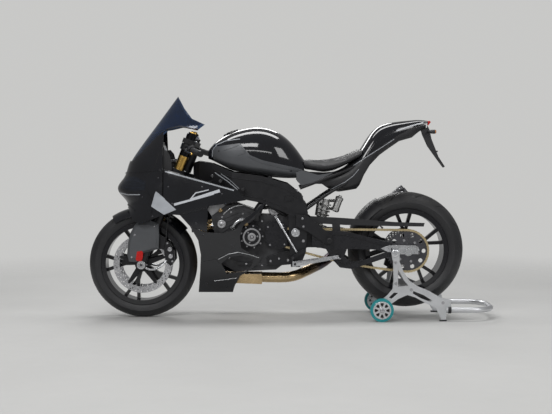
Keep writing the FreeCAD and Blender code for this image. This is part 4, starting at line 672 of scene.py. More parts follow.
# Seat: the solid is remeshed, swollen by a cloth simulation and held at its base, then sewn.
SEAT_SEAM, SEAM_HALF, SEAM_DEPTH = 0.052, 0.005, 0.0024
SEAT_RISE_CAP = 0.006
SWELL_FRAMES = 20
STITCH, STITCH_ROW = 0.006, 0.0055


def baked(item):
    """The mesh that an object's modifiers give; the modifiers are then taken off."""
    bpy.context.view_layer.update()
    mesh = bpy.data.meshes.new_from_object(item.evaluated_get(bpy.context.evaluated_depsgraph_get()))
    item.modifiers.clear()
    return mesh


def with_modifier(item, kind, **settings):
    modifier = item.modifiers.new(kind.lower(), kind)
    for name, value in settings.items():
        setattr(modifier, name, value)
    return modifier


def swell(item, mesh):
    """Blow the cover up a little from its fixed base, as a cloth under pressure."""
    rest = [vert.co.copy() for vert in mesh.vertices]
    base = item.vertex_groups.new(name="base")
    base.add([vert.index for vert in mesh.vertices if vert.normal.z < 0.1], 1.0, "REPLACE")
    cloth = with_modifier(item, "CLOTH")
    cloth.settings.use_pressure = True
    cloth.settings.uniform_pressure_force = 4
    cloth.settings.effector_weights.gravity = 0
    cloth.settings.vertex_group_mass = "base"
    cloth.settings.quality = 5
    cloth.point_cache.frame_end = SWELL_FRAMES
    for number in range(1, SWELL_FRAMES + 1):
        bpy.context.scene.frame_set(number)
    swollen = baked(item)
    item.vertex_groups.clear()
    bpy.context.scene.frame_set(1)
    for vert, start, end in zip(mesh.vertices, rest, swollen.vertices):
        move = end.co - start
        vert.co = start + move * min(1, SEAT_RISE_CAP / max(move.length, 1e-9))


def soft_seat():
    item = added("seat_cushion", NODES["seat"].data.copy())
    with_modifier(item, "WELD", merge_threshold=0.0004)
    with_modifier(item, "REMESH", mode="VOXEL", voxel_size=0.005)
    with_modifier(item, "SMOOTH", factor=0.5, iterations=8)
    item.data = baked(item)
    for vert in item.data.vertices:
        vert.co -= vert.normal * 0.0015
    swell(item, item.data)
    with_modifier(item, "SUBSURF", levels=1)
    item.data = baked(item)
    for vert in item.data.vertices:
        off = abs(abs(vert.co.y) - SEAT_SEAM)
        if vert.normal.z > 0.3 and off < SEAM_HALF:
            vert.co.z -= SEAM_DEPTH * (1 - off / SEAM_HALF)
    item.data.materials.clear()
    item.data.materials.append(SEAT.material)
    item.data.shade_smooth()
    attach(item, "chassis")
    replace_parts(item, "seat")
    return skin(item.data)


seat_skin = soft_seat()
low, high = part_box("seat")
stitches = Form()
for row in (side * SEAT_SEAM + offset for side in BOTH for offset in (-STITCH_ROW, STITCH_ROW)):
    for number in range(2, round((high.x - low.x) / STITCH) - 2):
        ends = []
        for shift in (-0.0016, 0.0016):
            above = Vector((low.x + STITCH * number + shift, row, high.z + 0.1))
            place, facing, _, _ = seat_skin.ray_cast(above, -UP)
            if place is not None and facing.z > 0.3:
                ends.append((place, facing))
        if len(ends) == 2:
            stitches.ribbon(ends, 0.0009, 0.0005)
stitches.piece("seat_stitches", THREAD)

# Bolts, sunk by a share of their height, and raised strips, at points of the side view. A row ends with its
# only side, unless it is on both.
SUNK = 0.4


def studs(name, look, rows, body="chassis"):
    """Round-headed bolts that land on a node: node, radius, height, points, side."""
    form = Form()
    for node, radius, height, points, *sides in rows:
        for hit in (land(node, px, py, side) for px, py in points for side in sides or BOTH):
            if hit:
                form.bolt(hit[0] - hit[1] * height * SUNK, hit[1], radius, height)
    form.piece(name, look, body=body)


def strips(name, look, rows):
    """Strips along lines that land on a node: node, width, lift, corners, side."""
    form = Form()
    for node, width, lift, corners, *sides in rows:
        for side in sides or BOTH:
            form.ribbon(trace(node, corners, side), width, lift)
    form.piece(name, look)


studs("fairing_fasteners", DARK_BOLT, [
    ("side_fairings", 0.0062, 0.0026, [(168, 187), (202, 187), (172, 204), (196, 223.5), (222, 194)]),
    ("nose_fairing", 0.0055, 0.0024, [(158, 178), (142, 197), (152, 216.5)]),
    ("belly_pan", 0.0062, 0.0026, [(203, 235.5), (232, 246), (206, 284), (226, 288)]),
    ("windscreen", 0.0052, 0.0026, [(140.5, 156.5), (150, 146.8), (160.5, 137), (174, 130.3)]),
    ("tail_side_panels", 0.0055, 0.0024, [(318, 179), (343, 186), (371, 162), (398, 140)]),
    ("tank_side_covers", 0.005, 0.0022, [(219, 151), (291, 171)]),
    ("chain_guard", 0.005, 0.003, [(336.5, 227), (336.5, 231.5)], 1),
    ("front_fender", 0.0045, 0.0024, [(128, 218)]),
])
studs("frame_bolts", BOLT, [
    ("main_frame", 0.0085, 0.006, [(296, 190), (212, 176), (303.5, 241), (299, 262)]),
    ("footrests", 0.0065, 0.0045, [(302.5, 218.5), (303.5, 226.5)]),
    ("engine_covers", 0.0052, 0.005, [(268, 227), (282.5, 224.5), (284.5, 244.5), (270, 245)], 1),
    ("engine_block", 0.0062, 0.0055,
     [(222, 217), (231, 212), (243, 214), (234, 233), (226, 240), (220, 249), (229, 258), (246, 264),
      (262, 266), (276, 262), (284, 257), (262, 221)]),
    ("cam_cover", 0.0055, 0.005, [(213, 206), (220, 202)]),
    ("paddock_stand", 0.008, 0.006, [(396, 263), (396.5, 284), (388.5, 304), (444, 303.5), (412, 290.3)]),
    ("rear_axle", 0.0035, 0.002, [(384.5, 248.8), (389, 249.2)]),
])
studs("caliper_bolts", BOLT, [
    ("front_calipers", 0.0062, 0.006, [(167, 243.3), (172, 261.5)]),
    ("front_calipers", 0.012, 0.0022, [(169.3, 249.5), (170.2, 256.5)]),
    ("wheel_covers", 0.0048, 0.0024, [(134, 235), (154, 226.5), (131, 257.5)]),
], "steering")

# Pale strips that paint highlights along the edges of the side fairings, the winglet crease, the nose, the
# frame and the tank; on the tail they are partly real trim and partly painted highlight.
strips("painted_edge_highlights", PAINTED_HIGHLIGHT, [
    ("side_fairings", 0.0085, 0.004, [(165.2, 171.4), (234, 190.4)]),
    ("winglets", 0.004, 0.0022, [(157, 192.5), (175.5, 208.5)]),
    ("nose_fairing", 0.005, 0.003, [(119, 192.3), (128, 194.6), (140, 194.6)]),
    ("main_frame", 0.0046, 0.003, [(215, 172.5), (228, 181.5), (237.5, 189.5)]),
    ("main_frame", 0.003, 0.0026, [(221, 173.5), (230, 180), (239, 188.5)]),
    ("fuel_tank", 0.0046, 0.0024, [(212.5, 157), (212.8, 150.5), (217, 144.8), (226, 141), (240, 139)]),
    ("tail_side_panels", 0.0036, 0.0022, [(353, 166), (366, 157.2), (385, 145), (394, 139)]),
    ("tail_side_panels", 0.0036, 0.0022, [(359, 169), (353, 176), (345, 182), (332, 188.5)]),
    ("tail_cowl", 0.007, 0.0022, [(396, 131), (410, 126), (423, 122.6)]),
])
strips("nose_edges", GLOSS, [(node, 0.008, 0.0045, corners) for node, corners in (
    ("nose_fairing", [(119, 175.4), (128, 172.5), (146, 171.2), (160, 170)]),
    ("nose_fairing", [(146.5, 191), (152, 201), (151, 214)]),
    ("nose_fairing", [(113, 205.5), (128, 204.5), (134.5, 210.5)]),
    ("side_fairings", [(181, 214.5), (197, 210.5), (206.5, 208)]),
)])
strips("panel_seams", GAP_AND_SHADE, [
    ("side_fairings", 0.0028, 0.0004, [(180, 213.5), (196, 209), (207.5, 206.3)]),
    ("belly_pan", 0.0026, 0.0004, [(203, 262), (216, 259), (219, 264)]),
    ("nose_fairing", 0.0024, 0.0004, [(147, 176), (154, 168), (160, 152)]),
])
strips("screen_trim", PLASTIC, [
    ("windscreen", 0.007, 0.0022,
     [(132.5, 162.3), (147.6, 147.6), (154.6, 140.6), (166.5, 129.6), (180, 126.2), (194.5, 129)]),
])
strips("pressed_creases", GREY, [
    ("tank_side_covers", 0.0036, 0.0026, [(224, 150.5), (239, 145.3), (246, 152.5), (238, 155.5)]),
    ("tank_side_covers", 0.0034, 0.0024, [(248, 156.5), (262, 163), (280, 167.5), (300, 171.5)]),
])
strips("frame_ribs", SATIN, [
    ("main_frame", 0.006, 0.0035, [(214, 170), (232, 177.5), (262, 181.5), (286, 189), (298, 198)]),
    ("main_frame", 0.006, 0.0035, [(214, 186), (232, 192.5), (262, 198.5), (286, 208.5)]),
    ("main_frame", 0.0045, 0.003,
     [(284.5, 196.2), (293, 196.2), (293, 201.2), (284.5, 201.2), (284.5, 196.2)]),
    ("swingarm", 0.005, 0.003, [(318, 234.5), (345, 235), (386, 246.3)]),
    ("swingarm", 0.0045, 0.0028, [(334, 257), (344, 264.5), (366, 261.5)]),
])
strips("engine_ribs", ENGINE, [("engine_block", *row) for row in (
    (0.004, 0.005, [(220, 220), (244, 210)]),
    (0.004, 0.005, [(220.5, 224.5), (246, 213)]),
    (0.004, 0.005, [(221.5, 229), (248, 216.5)]),
    (0.0045, 0.0045, [(218, 243), (232, 241)]),
    (0.0045, 0.0045, [(222, 256), (240, 262), (262, 262)]),
    (0.0045, 0.0045, [(238, 266), (262, 266.5), (278, 262)]),
    (0.004, 0.0045, [(270, 218), (270, 262)], -1),
    (0.004, 0.0045, [(282, 218), (282, 259)], -1),
)])
# Silver strips that paint highlights along a crease and an opening edge of the belly pan.
strips("fin_highlights", SILVER, [
    ("belly_pan", 0.0036, 0.0026, [(218, 259.5), (228, 254.3), (238, 252.3), (250, 254.9), (259, 257.9)]),
    ("belly_pan", 0.0032, 0.0024, [(214, 281), (228, 279.5), (237, 278)]),
])

# Fuel tank: filler cap with its ring of screws, set on the top of the tank.
CAP_SCREWS = 0.0385
cap = Form()
top, axis, _, _ = skin_of("fuel_tank").ray_cast(spot(231, 100), -UP)
across = axis.cross(LEFT).normalized()
cap.lathe(top - axis * 0.004, axis,
          [(0, 0.044), (0.0065, 0.044), (0.008, 0.0425), (0.008, 0.0335), (0.0062, 0.0325), (0.0062, 0.031),
           (0.0092, 0.03), (0.0098, 0.026), (0.0098, 0.0)], 48)
for turn in turns(7):
    out = turned(across, axis.cross(across), turn)
    cap.bolt(top + axis * 0.0038 + out * CAP_SCREWS, axis, 0.0032, 0.0022)
cap.plate(top + axis * 0.0056, across, LEFT,
          ((-0.022, -0.007), (0.01, -0.009), (0.014, 0), (0.01, 0.009), (-0.022, 0.007)), axis * 0.003)
cap.piece("filler_cap", SATIN)

# Engine: rims, a nut and bolts on the round covers, a pump wheel and coolant pipes.
COVER_START, COVER_REACH, COVER_RADIUS = 0.099, 0.086, 0.065
rims, bolts = Form(), Form()
for px, py, radius, side, count in ((252, 236, COVER_RADIUS, 1, 9), (262, 240, COVER_RADIUS * 1.2, -1, 11)):
    middle, away = spot(px, py, COVER_START), LEFT * side
    face = beside(middle, side * (COVER_START + COVER_REACH))
    foot = beside(middle, side * (COVER_START + COVER_REACH * 0.6))
    for place in circle_points(foot, radius * 0.91, count, 0.3):
        bolts.bolt(place, away, 0.005, 0.0055)
    rims.rim(face - away * 0.001, away, radius, [(0, 0.76), (0.0035, 0.74), (0.0035, 0.62), (0, 0.6)], 56)
    rims.rim(face - away * 0.001, away, radius,
             [(0, 0.36), (0.0045, 0.34), (0.0055, 0.28), (0.0055, 0.16), (0, 0.14)], 40)
    for place in circle_points(face, radius * 0.48, 3, 0.9):
        bolts.bolt(place, away, 0.0046, 0.004)
    bolts.nut(face - away * 0.0005, away, 0.007, 0.004)
rims.piece("cover_rims", CAST, "engine_cover")
bolts.piece("cover_bolts", BOLT)

pump = Form()
wheel, _ = land("engine_block", 221.5, 224)
pump.lathe(wheel - LEFT * 0.002, LEFT,
           [(0, 0.022), (0.004, 0.022), (0.005, 0.0185), (0.008, 0.0185), (0.009, 0.022), (0.013, 0.022),
            (0.014, 0.019), (0.0125, 0.012), (0.015, 0.008), (0.0155, 0.0)], 36)
pump.nut(wheel + LEFT * 0.012, LEFT, 0.0052, 0.0035)
pump.piece("pump_wheel", CAST, "engine_grey")

PIPE_SIDE, PIPE_END = 0.178, 0.16
pipes = Form()
pipes.tube(route((231.5, 229, PIPE_END), (232.3, 227.5, PIPE_SIDE), (236, 222.5, PIPE_SIDE + 0.004),
                 (241, 219.8, PIPE_SIDE), (245.5, 219, PIPE_END)), 0.0085, 14)
pipes.tube(route((223, 214.5, 0.168), (228, 210, 0.176), (235, 206.3, 0.17), (243, 205.3, PIPE_END)),
           0.003, 10)
for end in (spot(232.3, 227.5, 0.171), spot(245.0, 219.2, 0.168)):
    pipes.lathe(end - LEFT * 0.006, LEFT, [(0, 0.0125), (0.005, 0.0125), (0.006, 0.0105)], 20)
pipes.piece("coolant_pipes", SILVER)

# Intake: an elbow to each of the four throats, and the fuel rail over them.
THROATS, RAIL_HALF = (0.118, 0.04, -0.04, -0.118), 0.135
elbows, rail = Form(), Form()
rail.tube([spot(252.5, 210.5) + LEFT * side for side in (-RAIL_HALF, 0.0, RAIL_HALF)], 0.0075, 14)
for throat in THROATS:
    elbow = [place + LEFT * (throat + off) for place, off in
             zip(spots(0, (256, 218.5), (257, 212), (261, 205), (265.5, 200)), (0, 0.006, 0.004, 0))]
    elbows.tube(smooth_line(elbow), 0.026, 24, lambda share: 1.0 - 0.35 * share)
    way = elbow[2] - elbow[1]
    elbows.lathe(elbow[1] - way.normalized() * 0.006, way,
                 [(0, 0.0245), (0.001, 0.027), (0.009, 0.0262), (0.01, 0.0235)], 28)
    rail.tube([place + LEFT * throat for place in spots(0, (252.5, 210.5), (254.5, 212.5), (256, 214.5))],
              0.006, 12)
elbows.piece("intake_elbows", PLASTIC)
rail.piece("fuel_rail", SILVER)

# Starter motor across the crankcase, behind the cylinders, with a silver cap and a hose that passes it.
starter, end_cap = Form(), Form()
motor = spot(274.5, 209.6, 0.105)
starter.lathe(beside(motor, -0.06), LEFT, [(0, 0.024), (0.006, 0.031), (0.15, 0.031), (0.156, 0.028)], 36)
starter.tube(route((259, 203.5, 0.09), (264, 207.5, 0.104), (271, 207, 0.112), (279, 211.5, 0.106),
                   (287, 216, 0.088)), 0.0105, 14)
end_cap.lathe(beside(motor, 0.094), LEFT,
              [(0, 0.0335), (0.008, 0.0335), (0.012, 0.03), (0.012, 0.016), (0.02, 0.014), (0.022, 0.01)],
              36)
for place in circle_points(motor, 0.0235, 3, 0.6):
    end_cap.bolt(place, LEFT, 0.0042, 0.0036)
starter.piece("starter_motor", PLASTIC)
end_cap.piece("starter_cap", CAST, "silver_metal")

# Shock reservoir: a silver bottle beside the spring, with its adjuster and the two arms that hold it.
reservoir = Form()
top, foot = spots(0.048, (340, 197), (334.5, 211.5))
way, length = (foot - top).normalized(), (foot - top).length
reservoir.lathe(top - way * 0.01, way,
                [(0, 0.0095), (0.008, 0.0095), (0.01, 0.019), (0.014, 0.0225), (0.026, 0.0225),
                 (0.027, 0.0205), (length - 0.012, 0.0205), (length - 0.011, 0.0225),
                 (length + 0.004, 0.0225), (length + 0.01, 0.015)], 32)
for share, px, py in ((0.25, 328.5, 200.5), (0.8, 326.5, 208.5)):
    reservoir.tube([top.lerp(foot, share), spot(px, py, 0.012)], 0.0085, 14)
reservoir.piece("shock_reservoir", SHOCK)

# Side stand bracket: a plate under the crankcase, with its bolts.
BRACKET_SIDE = 0.112
bracket, bolts = Form(), Form()
bracket.slab(spots(BRACKET_SIDE, (266, 257.5), (284, 251.5), (298, 250.5), (303, 256), (300, 261.5),
                   (290, 264.5), (276, 265.8), (268, 264.5)), LEFT * 0.012)
for px, py, size in ((270.5, 261, 0.0062), (279, 258.5, 0.0062), (288, 260, 0.0075), (296, 255.5, 0.0062)):
    bolts.bolt(spot(px, py, BRACKET_SIDE) + LEFT * 0.0118, LEFT, size, 0.006)
bracket.piece("side_stand_bracket", SATIN)
bolts.piece("side_stand_bolts", BOLT)

# Inner trims of the nose, outside the sweep of the fork, and plates inside the frame at the swingarm's pivot.
TRIM_SIDE, GUARD_SIDE = 0.139, 0.0975
trim = spots(TRIM_SIDE, (157, 151), (166, 150), (169.5, 154), (171.5, 161), (172, 170.5), (157, 171.5))
guard = spots(0, (283, 216), (300, 219), (300, 262), (284, 262))
trims, guards = Form(), Form()
for side, away in SIDES:
    trims.slab([flipped(corner, side) for corner in trim], away * 0.004)
    guards.slab([corner + away * GUARD_SIDE for corner in guard], away * 0.0025)
trims.piece("nose_trims", PLASTIC)
guards.piece("pivot_guards", PLASTIC)

# Bronze plugs at the end of the cylinder head.
plugs = Form()
for px, py in ((220.5, 210.5), (246, 224.5)):
    place, _ = land("engine_block", px, py) or land("cam_cover", px, py)
    plugs.lathe(place - LEFT * 0.003, LEFT,
                [(0, 0.0115), (0.006, 0.0115), (0.008, 0.009), (0.011, 0.006)], 18)
plugs.piece("cam_plugs", BRONZE)

# Radiator: side tanks.
CORE_WIDTH = 0.165 * 1.9
tanks = Form()
for side in BOTH:
    foot, top = (beside(place, side * (CORE_WIDTH / 2 - 0.008)) for place in
                 spots(0, (196.5, 229.3), (192.3, 191.8)))
    tanks.tube([foot, foot.lerp(top, 0.5), top], 0.0165, 12)
tanks.piece("radiator_tanks", SATIN, "engine_grey")

# Exhaust: flange clamps with studs at the head, a clamp at the silencer, and bands and rivets round it.
SILENCER_SIDE, SILENCER_LEAN, HEADER_SPREAD = 0.218, 0.92, 0.165
clamps, nuts = Form(), Form()
header_axis = (spot(204, 225) - spot(217, 223)).normalized()
for share in (-0.8, -0.27, 0.27, 0.8):
    start = spot(214.6, 223.4) + LEFT * HEADER_SPREAD * share
    clamps.lathe(start, header_axis, [(0, 0.021), (0, 0.027), (0.006, 0.027), (0.007, 0.021)], 28)
    for ear in (start - LEFT * 0.031, start + LEFT * 0.031):
        clamps.lathe(ear, header_axis, [(0, 0.0085), (0.006, 0.0085)], 16)
        nuts.nut(ear + header_axis * 0.0055, header_axis, 0.0062, 0.005)
pipe_run = (spot(358, 236) - spot(346, 248)).normalized()
start = spot(352.5, 241.5) - LEFT * SILENCER_SIDE
clamps.lathe(start, pipe_run, [(0, 0.029), (0, 0.0325), (0.014, 0.0325), (0.014, 0.029)], 32)
nuts.bolt(start + pipe_run * 0.007 - LEFT * 0.031, -LEFT, 0.0055, 0.008)
clamps.piece("pipe_clamps", SILVER)
nuts.piece("pipe_nuts", BOLT)

start, end = spot(358, 236) - LEFT * SILENCER_SIDE, spot(411, 193) - LEFT * SILENCER_SIDE * SILENCER_LEAN
axis, length = (end - start).normalized(), (end - start).length
hanger = length * 0.52
bands, rivets = Form(), Form()
for along, inner, outer, wide in ((0.012, 0.0505, 0.0545, 0.012), (hanger, 0.0515, 0.0535, 0.02)):
    bands.lathe(start + axis * along, axis, [(0, inner), (0, outer), (wide, outer), (wide, inner)], 56, True)
bands.lathe(end - axis * 0.034, axis,
            [(0, 0.0505), (0, 0.0545), (0.022, 0.0545), (0.03, 0.05), (0.033, 0.04), (0.033, 0.03),
             (0.02, 0.029)], 56)
bands.lathe(end - axis * 0.006, axis, [(0, 0.0305), (0.01, 0.0305), (0.01, 0.0265), (-0.012, 0.0265)], 40)
bands.piece("silencer_bands", CARRIER, "silencer_metal")
side_way = axis.orthogonal().normalized()
for along in (0.018, length - 0.022):
    for turn in turns(12):
        out = turned(side_way, axis.cross(side_way), turn)
        rivets.bolt(start + axis * along + out * 0.054, out, 0.003, 0.0016)
out = (UP - axis * UP.dot(axis)).normalized()
ear = start + axis * (hanger + 0.01)
rivets.plate(ear, out, axis, ((0.05, 0.01), (0.078, 0.006), (0.078, -0.006), (0.05, -0.01)), LEFT * 0.004)
rivets.bolt(ear + out * 0.07 + LEFT * 0.0035, LEFT, 0.0065, 0.006)
rivets.piece("silencer_rivets", BOLT)

# Swingarm: axle nuts, adjuster bolts and marks at its end, flanges of the lift spools, and its pivot caps.
ARM_OUTER, ADJUSTER_SIDE, SPOOL_END, PIVOT_FACE = 0.16, 0.144, 0.186, 0.1545
MARK_PX = 1.4
ends, marks, pivots = Form(), Form(), Form()
for side, away in SIDES:
    axle = REAR_AXLE + away * ARM_OUTER
    ends.lathe(axle, away, [(0, 0.0245), (0.0025, 0.0245), (0.0025, 0.0145), (0, 0.0145)], 36, True)
    ends.lathe(axle + away * 0.0022, away,
               [(0, 0.0215), (0.0095, 0.0215), (0.011, 0.0195), (0.011, 0.0142), (0, 0.0142)], 6, True)
    stud = beside(spot(415.5, 250.2, side * ADJUSTER_SIDE), side * ADJUSTER_SIDE)
    ends.nut(stud, -FORWARD, 0.0095, 0.007)
    ends.lathe(stud - FORWARD * 0.006, -FORWARD, [(0, 0.004), (0.016, 0.004), (0.017, 0.0034)], 14)
    spool = beside(sum(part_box("lift_spools"), Vector()) / 2, side * (SPOOL_END - 0.001))
    ends.lathe(spool, away,
               [(0, 0.0205), (0.0035, 0.0205), (0.0045, 0.019), (0.0045, 0.009), (0.003, 0.0085)], 32)
    ends.bolt(spool + away * 0.003, away, 0.0075, 0.005)
    for px in (398.5, 400.5, 402.5, 413.0, 415.0):
        for py in (246.6, 252.0):
            marks.ribbon(trace("rear_axle", [(px, py), (px, py + MARK_PX)], side, 0.7), 0.0012, 0.0008)
    pivot = beside(land("main_frame", 295.6, 232.8, side)[0], side * PIVOT_FACE)
    pivots.lathe(pivot, away,
                 [(0, 0.0235), (0.004, 0.0235), (0.0055, 0.0215), (0.0055, 0.015), (0.0035, 0.0145),
                  (0.0035, 0.0115), (0.0065, 0.011), (0.0065, 0.0)], 36)
ends.piece("axle_ends", SILVER)
marks.piece("adjuster_marks", DARK_BOLT)
pivots.piece("pivot_caps", SILVER)

# Wheels: bearing rings, the nuts of the rear sprocket, and valves.
RIM_INNER, BEARING = 0.2035, 0.034
for name, axle, hub in (("front", FRONT_AXLE, 0.052), ("rear", REAR_AXLE, 0.084)):
    rings = Form()
    for away in (LEFT, -LEFT):
        rings.rim(axle + away * (hub - 0.0005), away, BEARING,
                  [(0, 0.92), (0.0012, 0.9), (0.0012, 0.62), (0, 0.6)], 36)
    rings.piece(name + "_bearing_rings", DARK_BOLT, body=name + "_wheel")
nuts = Form()
for place in circle_points(REAR_AXLE + LEFT * 0.1155, 0.06, 6, 0.2):
    nuts.nut(place, LEFT, 0.008, 0.0055)
nuts.piece("sprocket_nuts", BOLT, body="rear_wheel")
for name, axle, turn in (("front", FRONT_AXLE, 2.05), ("rear", REAR_AXLE, 0.75)):
    valve = Form()
    root = rim_spot(axle, RIM_INNER, turn)
    valve.lathe(root, axle - root,
                [(0, 0.0075), (0.003, 0.0072), (0.006, 0.004), (0.022, 0.0034), (0.022, 0.0046),
                 (0.033, 0.0046), (0.034, 0.0038)], 14)
    valve.piece(name + "_valve", PLASTIC, "rim_black", name + "_wheel")

# Spring of the rear shock, between the seat plates of the damper.
SHOCK_TOP, SHOCK_FOOT = spots(0, (326, 199), (319, 235))
run = SHOCK_FOOT - SHOCK_TOP
coil = Form()
coil.tube(helix(SHOCK_TOP + run * 0.165, run * 0.685, run.cross(LEFT).normalized(), LEFT, 6.5, 0.0315, 156),
          0.0046, 10)
coil.piece("shock_spring", SHOCK)

# Footrests: rubber bands on the pegs, toe pegs on the levers, and the joints and sleeve of the shift rod.
FEET_SIDE, PEG_SIDE, TOE_SIDE, ROD_SIDE = 0.172, 0.176, 0.173, 0.16
pegs, toes, rod = Form(), Form(), Form()
for side, away in SIDES:
    peg = beside(spot(329, 240, FEET_SIDE), side * PEG_SIDE)
    for number in range(8):
        pegs.lathe(peg + away * (0.022 + number * 0.0078), away,
                   [(0, 0.0118), (0.001, 0.0128), (0.0048, 0.0128), (0.0058, 0.0118)], 20)
    toe = spot(292.8, 257.8, FEET_SIDE) if side > 0 else spot(295.2, 256.2, FEET_SIDE)
    toes.lathe(beside(toe, side * TOE_SIDE), away,
               [(0, 0.0055), (0.004, 0.0055), (0.004, 0.0085), (0.031, 0.0085), (0.033, 0.007)], 18)
rod_ends = spots(ROD_SIDE, (276, 217), (298, 254.6))
for place in rod_ends:
    rod.lathe(place - LEFT * 0.007, LEFT, [(0, 0.0085), (0.014, 0.0085), (0.016, 0.006)], 18)
    rod.nut(place + LEFT * 0.008, LEFT, 0.0058, 0.004)
for first, last, radius, count in ((0.04, 0.3, 0.0088, 16), (0.3, 0.94, 0.005, 12)):
    rod.tube([rod_ends[0].lerp(rod_ends[1], share) for share in (first, last)], radius, count)
pegs.piece("peg_rubbers", GRIP)
toes.piece("toe_pegs", GRIP)
rod.piece("shift_rod_ends", SILVER)

# Side stand: the foot plate, and the spring on its two posts.
SPRING_SIDE = 0.187
prop = Form()
foot = spot(337.5, 257.2, PROP.y) - UP * 0.009
prop.plate(foot, FORWARD, LEFT,
           ((0.026, -0.012), (0.03, 0.006), (0.022, 0.026), (-0.018, 0.03), (-0.024, 0), (-0.018, -0.012)),
           UP * 0.005)
ends = spots(SPRING_SIDE, (295.5, 262.2), (318, 259.0))
run = ends[1] - ends[0]
prop.tube(helix(ends[0], run, run.cross(LEFT).normalized(), LEFT, 20, 0.0052, 200), 0.0012, 6)
for end in ends:
    prop.lathe(beside(end, PROP.y + 0.006), LEFT,
               [(0, 0.0034), (0.012, 0.0034), (0.013, 0.0048), (0.0145, 0.0048)], 12)
prop.piece("side_stand_spring", BOLT, body="side_stand_leg")

# Paddock stand: rubber feet, tube end collars, and on its wheels caps, silver rings and dark plates that are
# painted shade in the windows between the spokes.
STAND_SIDE, WHEEL_SIDE, WHEEL_WINDOW, WHEEL_CAP = 0.178, 0.206, 0.2199, 0.2335
feet, caps, rings, windows = Form(), Form(), Form(), Form()
for side, away in SIDES:
    foot, collar = (Vector((spot(px, py, STAND_SIDE).x, side * STAND_SIDE, height)) for px, py, height in
                    ((444, 317, 0.0006), (449, 306, 0.06)))
    feet.plate(foot, FORWARD, away, ((-0.019, -0.01), (0.019, -0.01), (0.019, 0.01), (-0.019, 0.01)),
               UP * 0.006)
    feet.lathe(collar, -FORWARD, [(0, 0.0152), (0, 0.0185), (0.016, 0.0185), (0.018, 0.0152)], 28)
    caps.lathe(beside(STAND_AXLE, side * (WHEEL_CAP - 0.012)), away,
               [(0, 0.0125), (0.01, 0.0125), (0.014, 0.0105), (0.0155, 0.006)], 24)
    face = beside(STAND_AXLE, side * (WHEEL_SIDE + 0.0138))
    rings.lathe(face, away, [(0, 0.0485), (0.0016, 0.0475), (0.0016, 0.042), (0, 0.041)], 40, True)
    rings.lathe(face, away, [(0, 0.02), (0.003, 0.019), (0.003, 0.01), (0, 0.009)], 32, True)
    face = beside(STAND_AXLE, side * WHEEL_WINDOW)
    # Dark plates across the windows between the spokes: painted shade.
    for middle in turns(8):
        windows.slab([rim_spot(face, radius, middle + turn) for radius, turn in
                      ((0.0218, -0.13), (0.0218, 0.13), (0.036, 0.25), (0.04, 0.2), (0.0404, 0),
                       (0.04, -0.2), (0.036, -0.25))], away * 0.0005)
feet.piece("stand_feet", PLASTIC)
caps.piece("stand_wheel_caps", BOLT)
rings.piece("stand_wheel_rings", SILVER, body="stand_wheels")
windows.piece("stand_wheel_window_shade", GAP_AND_SHADE, body="stand_wheels")

# Fork feet: the silver axle clamp, the arm from it to the caliper, and the red cap beside the wheel cover.
FOOT_SIDE = 0.1265
clamps, red_caps = Form(), Form()
arm = route((145.5, 268.4, 0.116), (150, 269.8, 0.117), (155, 269.2, 0.115), (160, 266.6, 0.108),
            (163.6, 263.4, 0.1), (166, 260.5, 0.094))
red_cap = spots(FOOT_SIDE, (136.8, 251.6), (141.4, 250.8), (142.8, 252.2), (142.6, 257.4), (141.6, 260.4),
                (139.8, 261.4), (136.4, 260.9), (135.4, 259.2))
for side, away in SIDES:
    clamps.lathe(FRONT_AXLE + away * (FOOT_SIDE - 0.001), away,
                 [(0, 0.0235), (0.0042, 0.0235), (0.0052, 0.0222), (0.0052, 0.0136), (0, 0.0134)], 36, True)
    clamps.tube([flipped(place, side) for place in arm], 0.0062, 10)
    red_caps.slab([beside(corner, side * (FOOT_SIDE - 0.001)) for corner in red_cap], away * 0.0132)
clamps.piece("fork_foot_clamps", SILVER, body="steering")
red_caps.piece("fork_foot_caps", RED, body="steering")

# Nose: lamp units behind the lenses.
HOUSING_DEEP, HOUSING_HALF = 0.022, 0.026
bars, housings = Form(), Form()
for side in BOTH:
    for deep, *corners in ((0.01, (123.5, 186), (131, 187.6), (143, 187.4)),
                           (0.012, (126, 180), (134, 179.4), (143, 183.2))):
        line = [place - facing * deep for place, facing in trace("headlamps", corners, side)]
        if len(line) > 2:
            bars.tube(line, 0.003, 8)
    row = trace("headlamps", [(122, 184), (133, 183), (144, 186)], side, 1.0)
    for (place, facing), (after, _) in zip(row, row[1:]):
        rise = facing.cross(after - place).normalized() * HOUSING_HALF
        near, far = place - facing * HOUSING_DEEP, after - facing * HOUSING_DEEP
        housings.slab([near - rise, far - rise, far + rise, near + rise], facing * 0.002)
bars.piece("lamp_bars", LED)
housings.piece("lamp_housings", SATIN)

# Display: its glass, a rev counter of twelve blocks and three plain bars.
DISPLAY_HALF = 0.068
low, high = spot(169.7, 160.6), spot(163.5, 143.6)
up = (high - low).normalized()
out = up.cross(LEFT).normalized()
dial, lights = Form(), Form()
dial.plate(low + out * 0.0006, up, LEFT,
           ((0.008, -DISPLAY_HALF), (0.088, -DISPLAY_HALF), (0.088, DISPLAY_HALF), (0.008, DISPLAY_HALF)),
           out * 0.0012)
blocks = [(-0.052 + 0.0095 * number, 0.0055, 0.056 + 0.012 * math.sin(math.pi * number / 11), 0.01)
          for number in range(12)]
for off, wide, rise, tall in (*blocks, (-0.045, 0.03, 0.022, 0.004), (0.015, 0.03, 0.022, 0.004),
                              (-0.012, 0.024, 0.032, 0.01)):
    lights.plate(low + up * rise + LEFT * off + out * 0.0019, LEFT, up,
                 ((0, 0), (wide, 0), (wide, tall), (0, tall)), out * 0.0004)
dial.piece("display_face", FACE)
lights.piece("display_bars", LED)

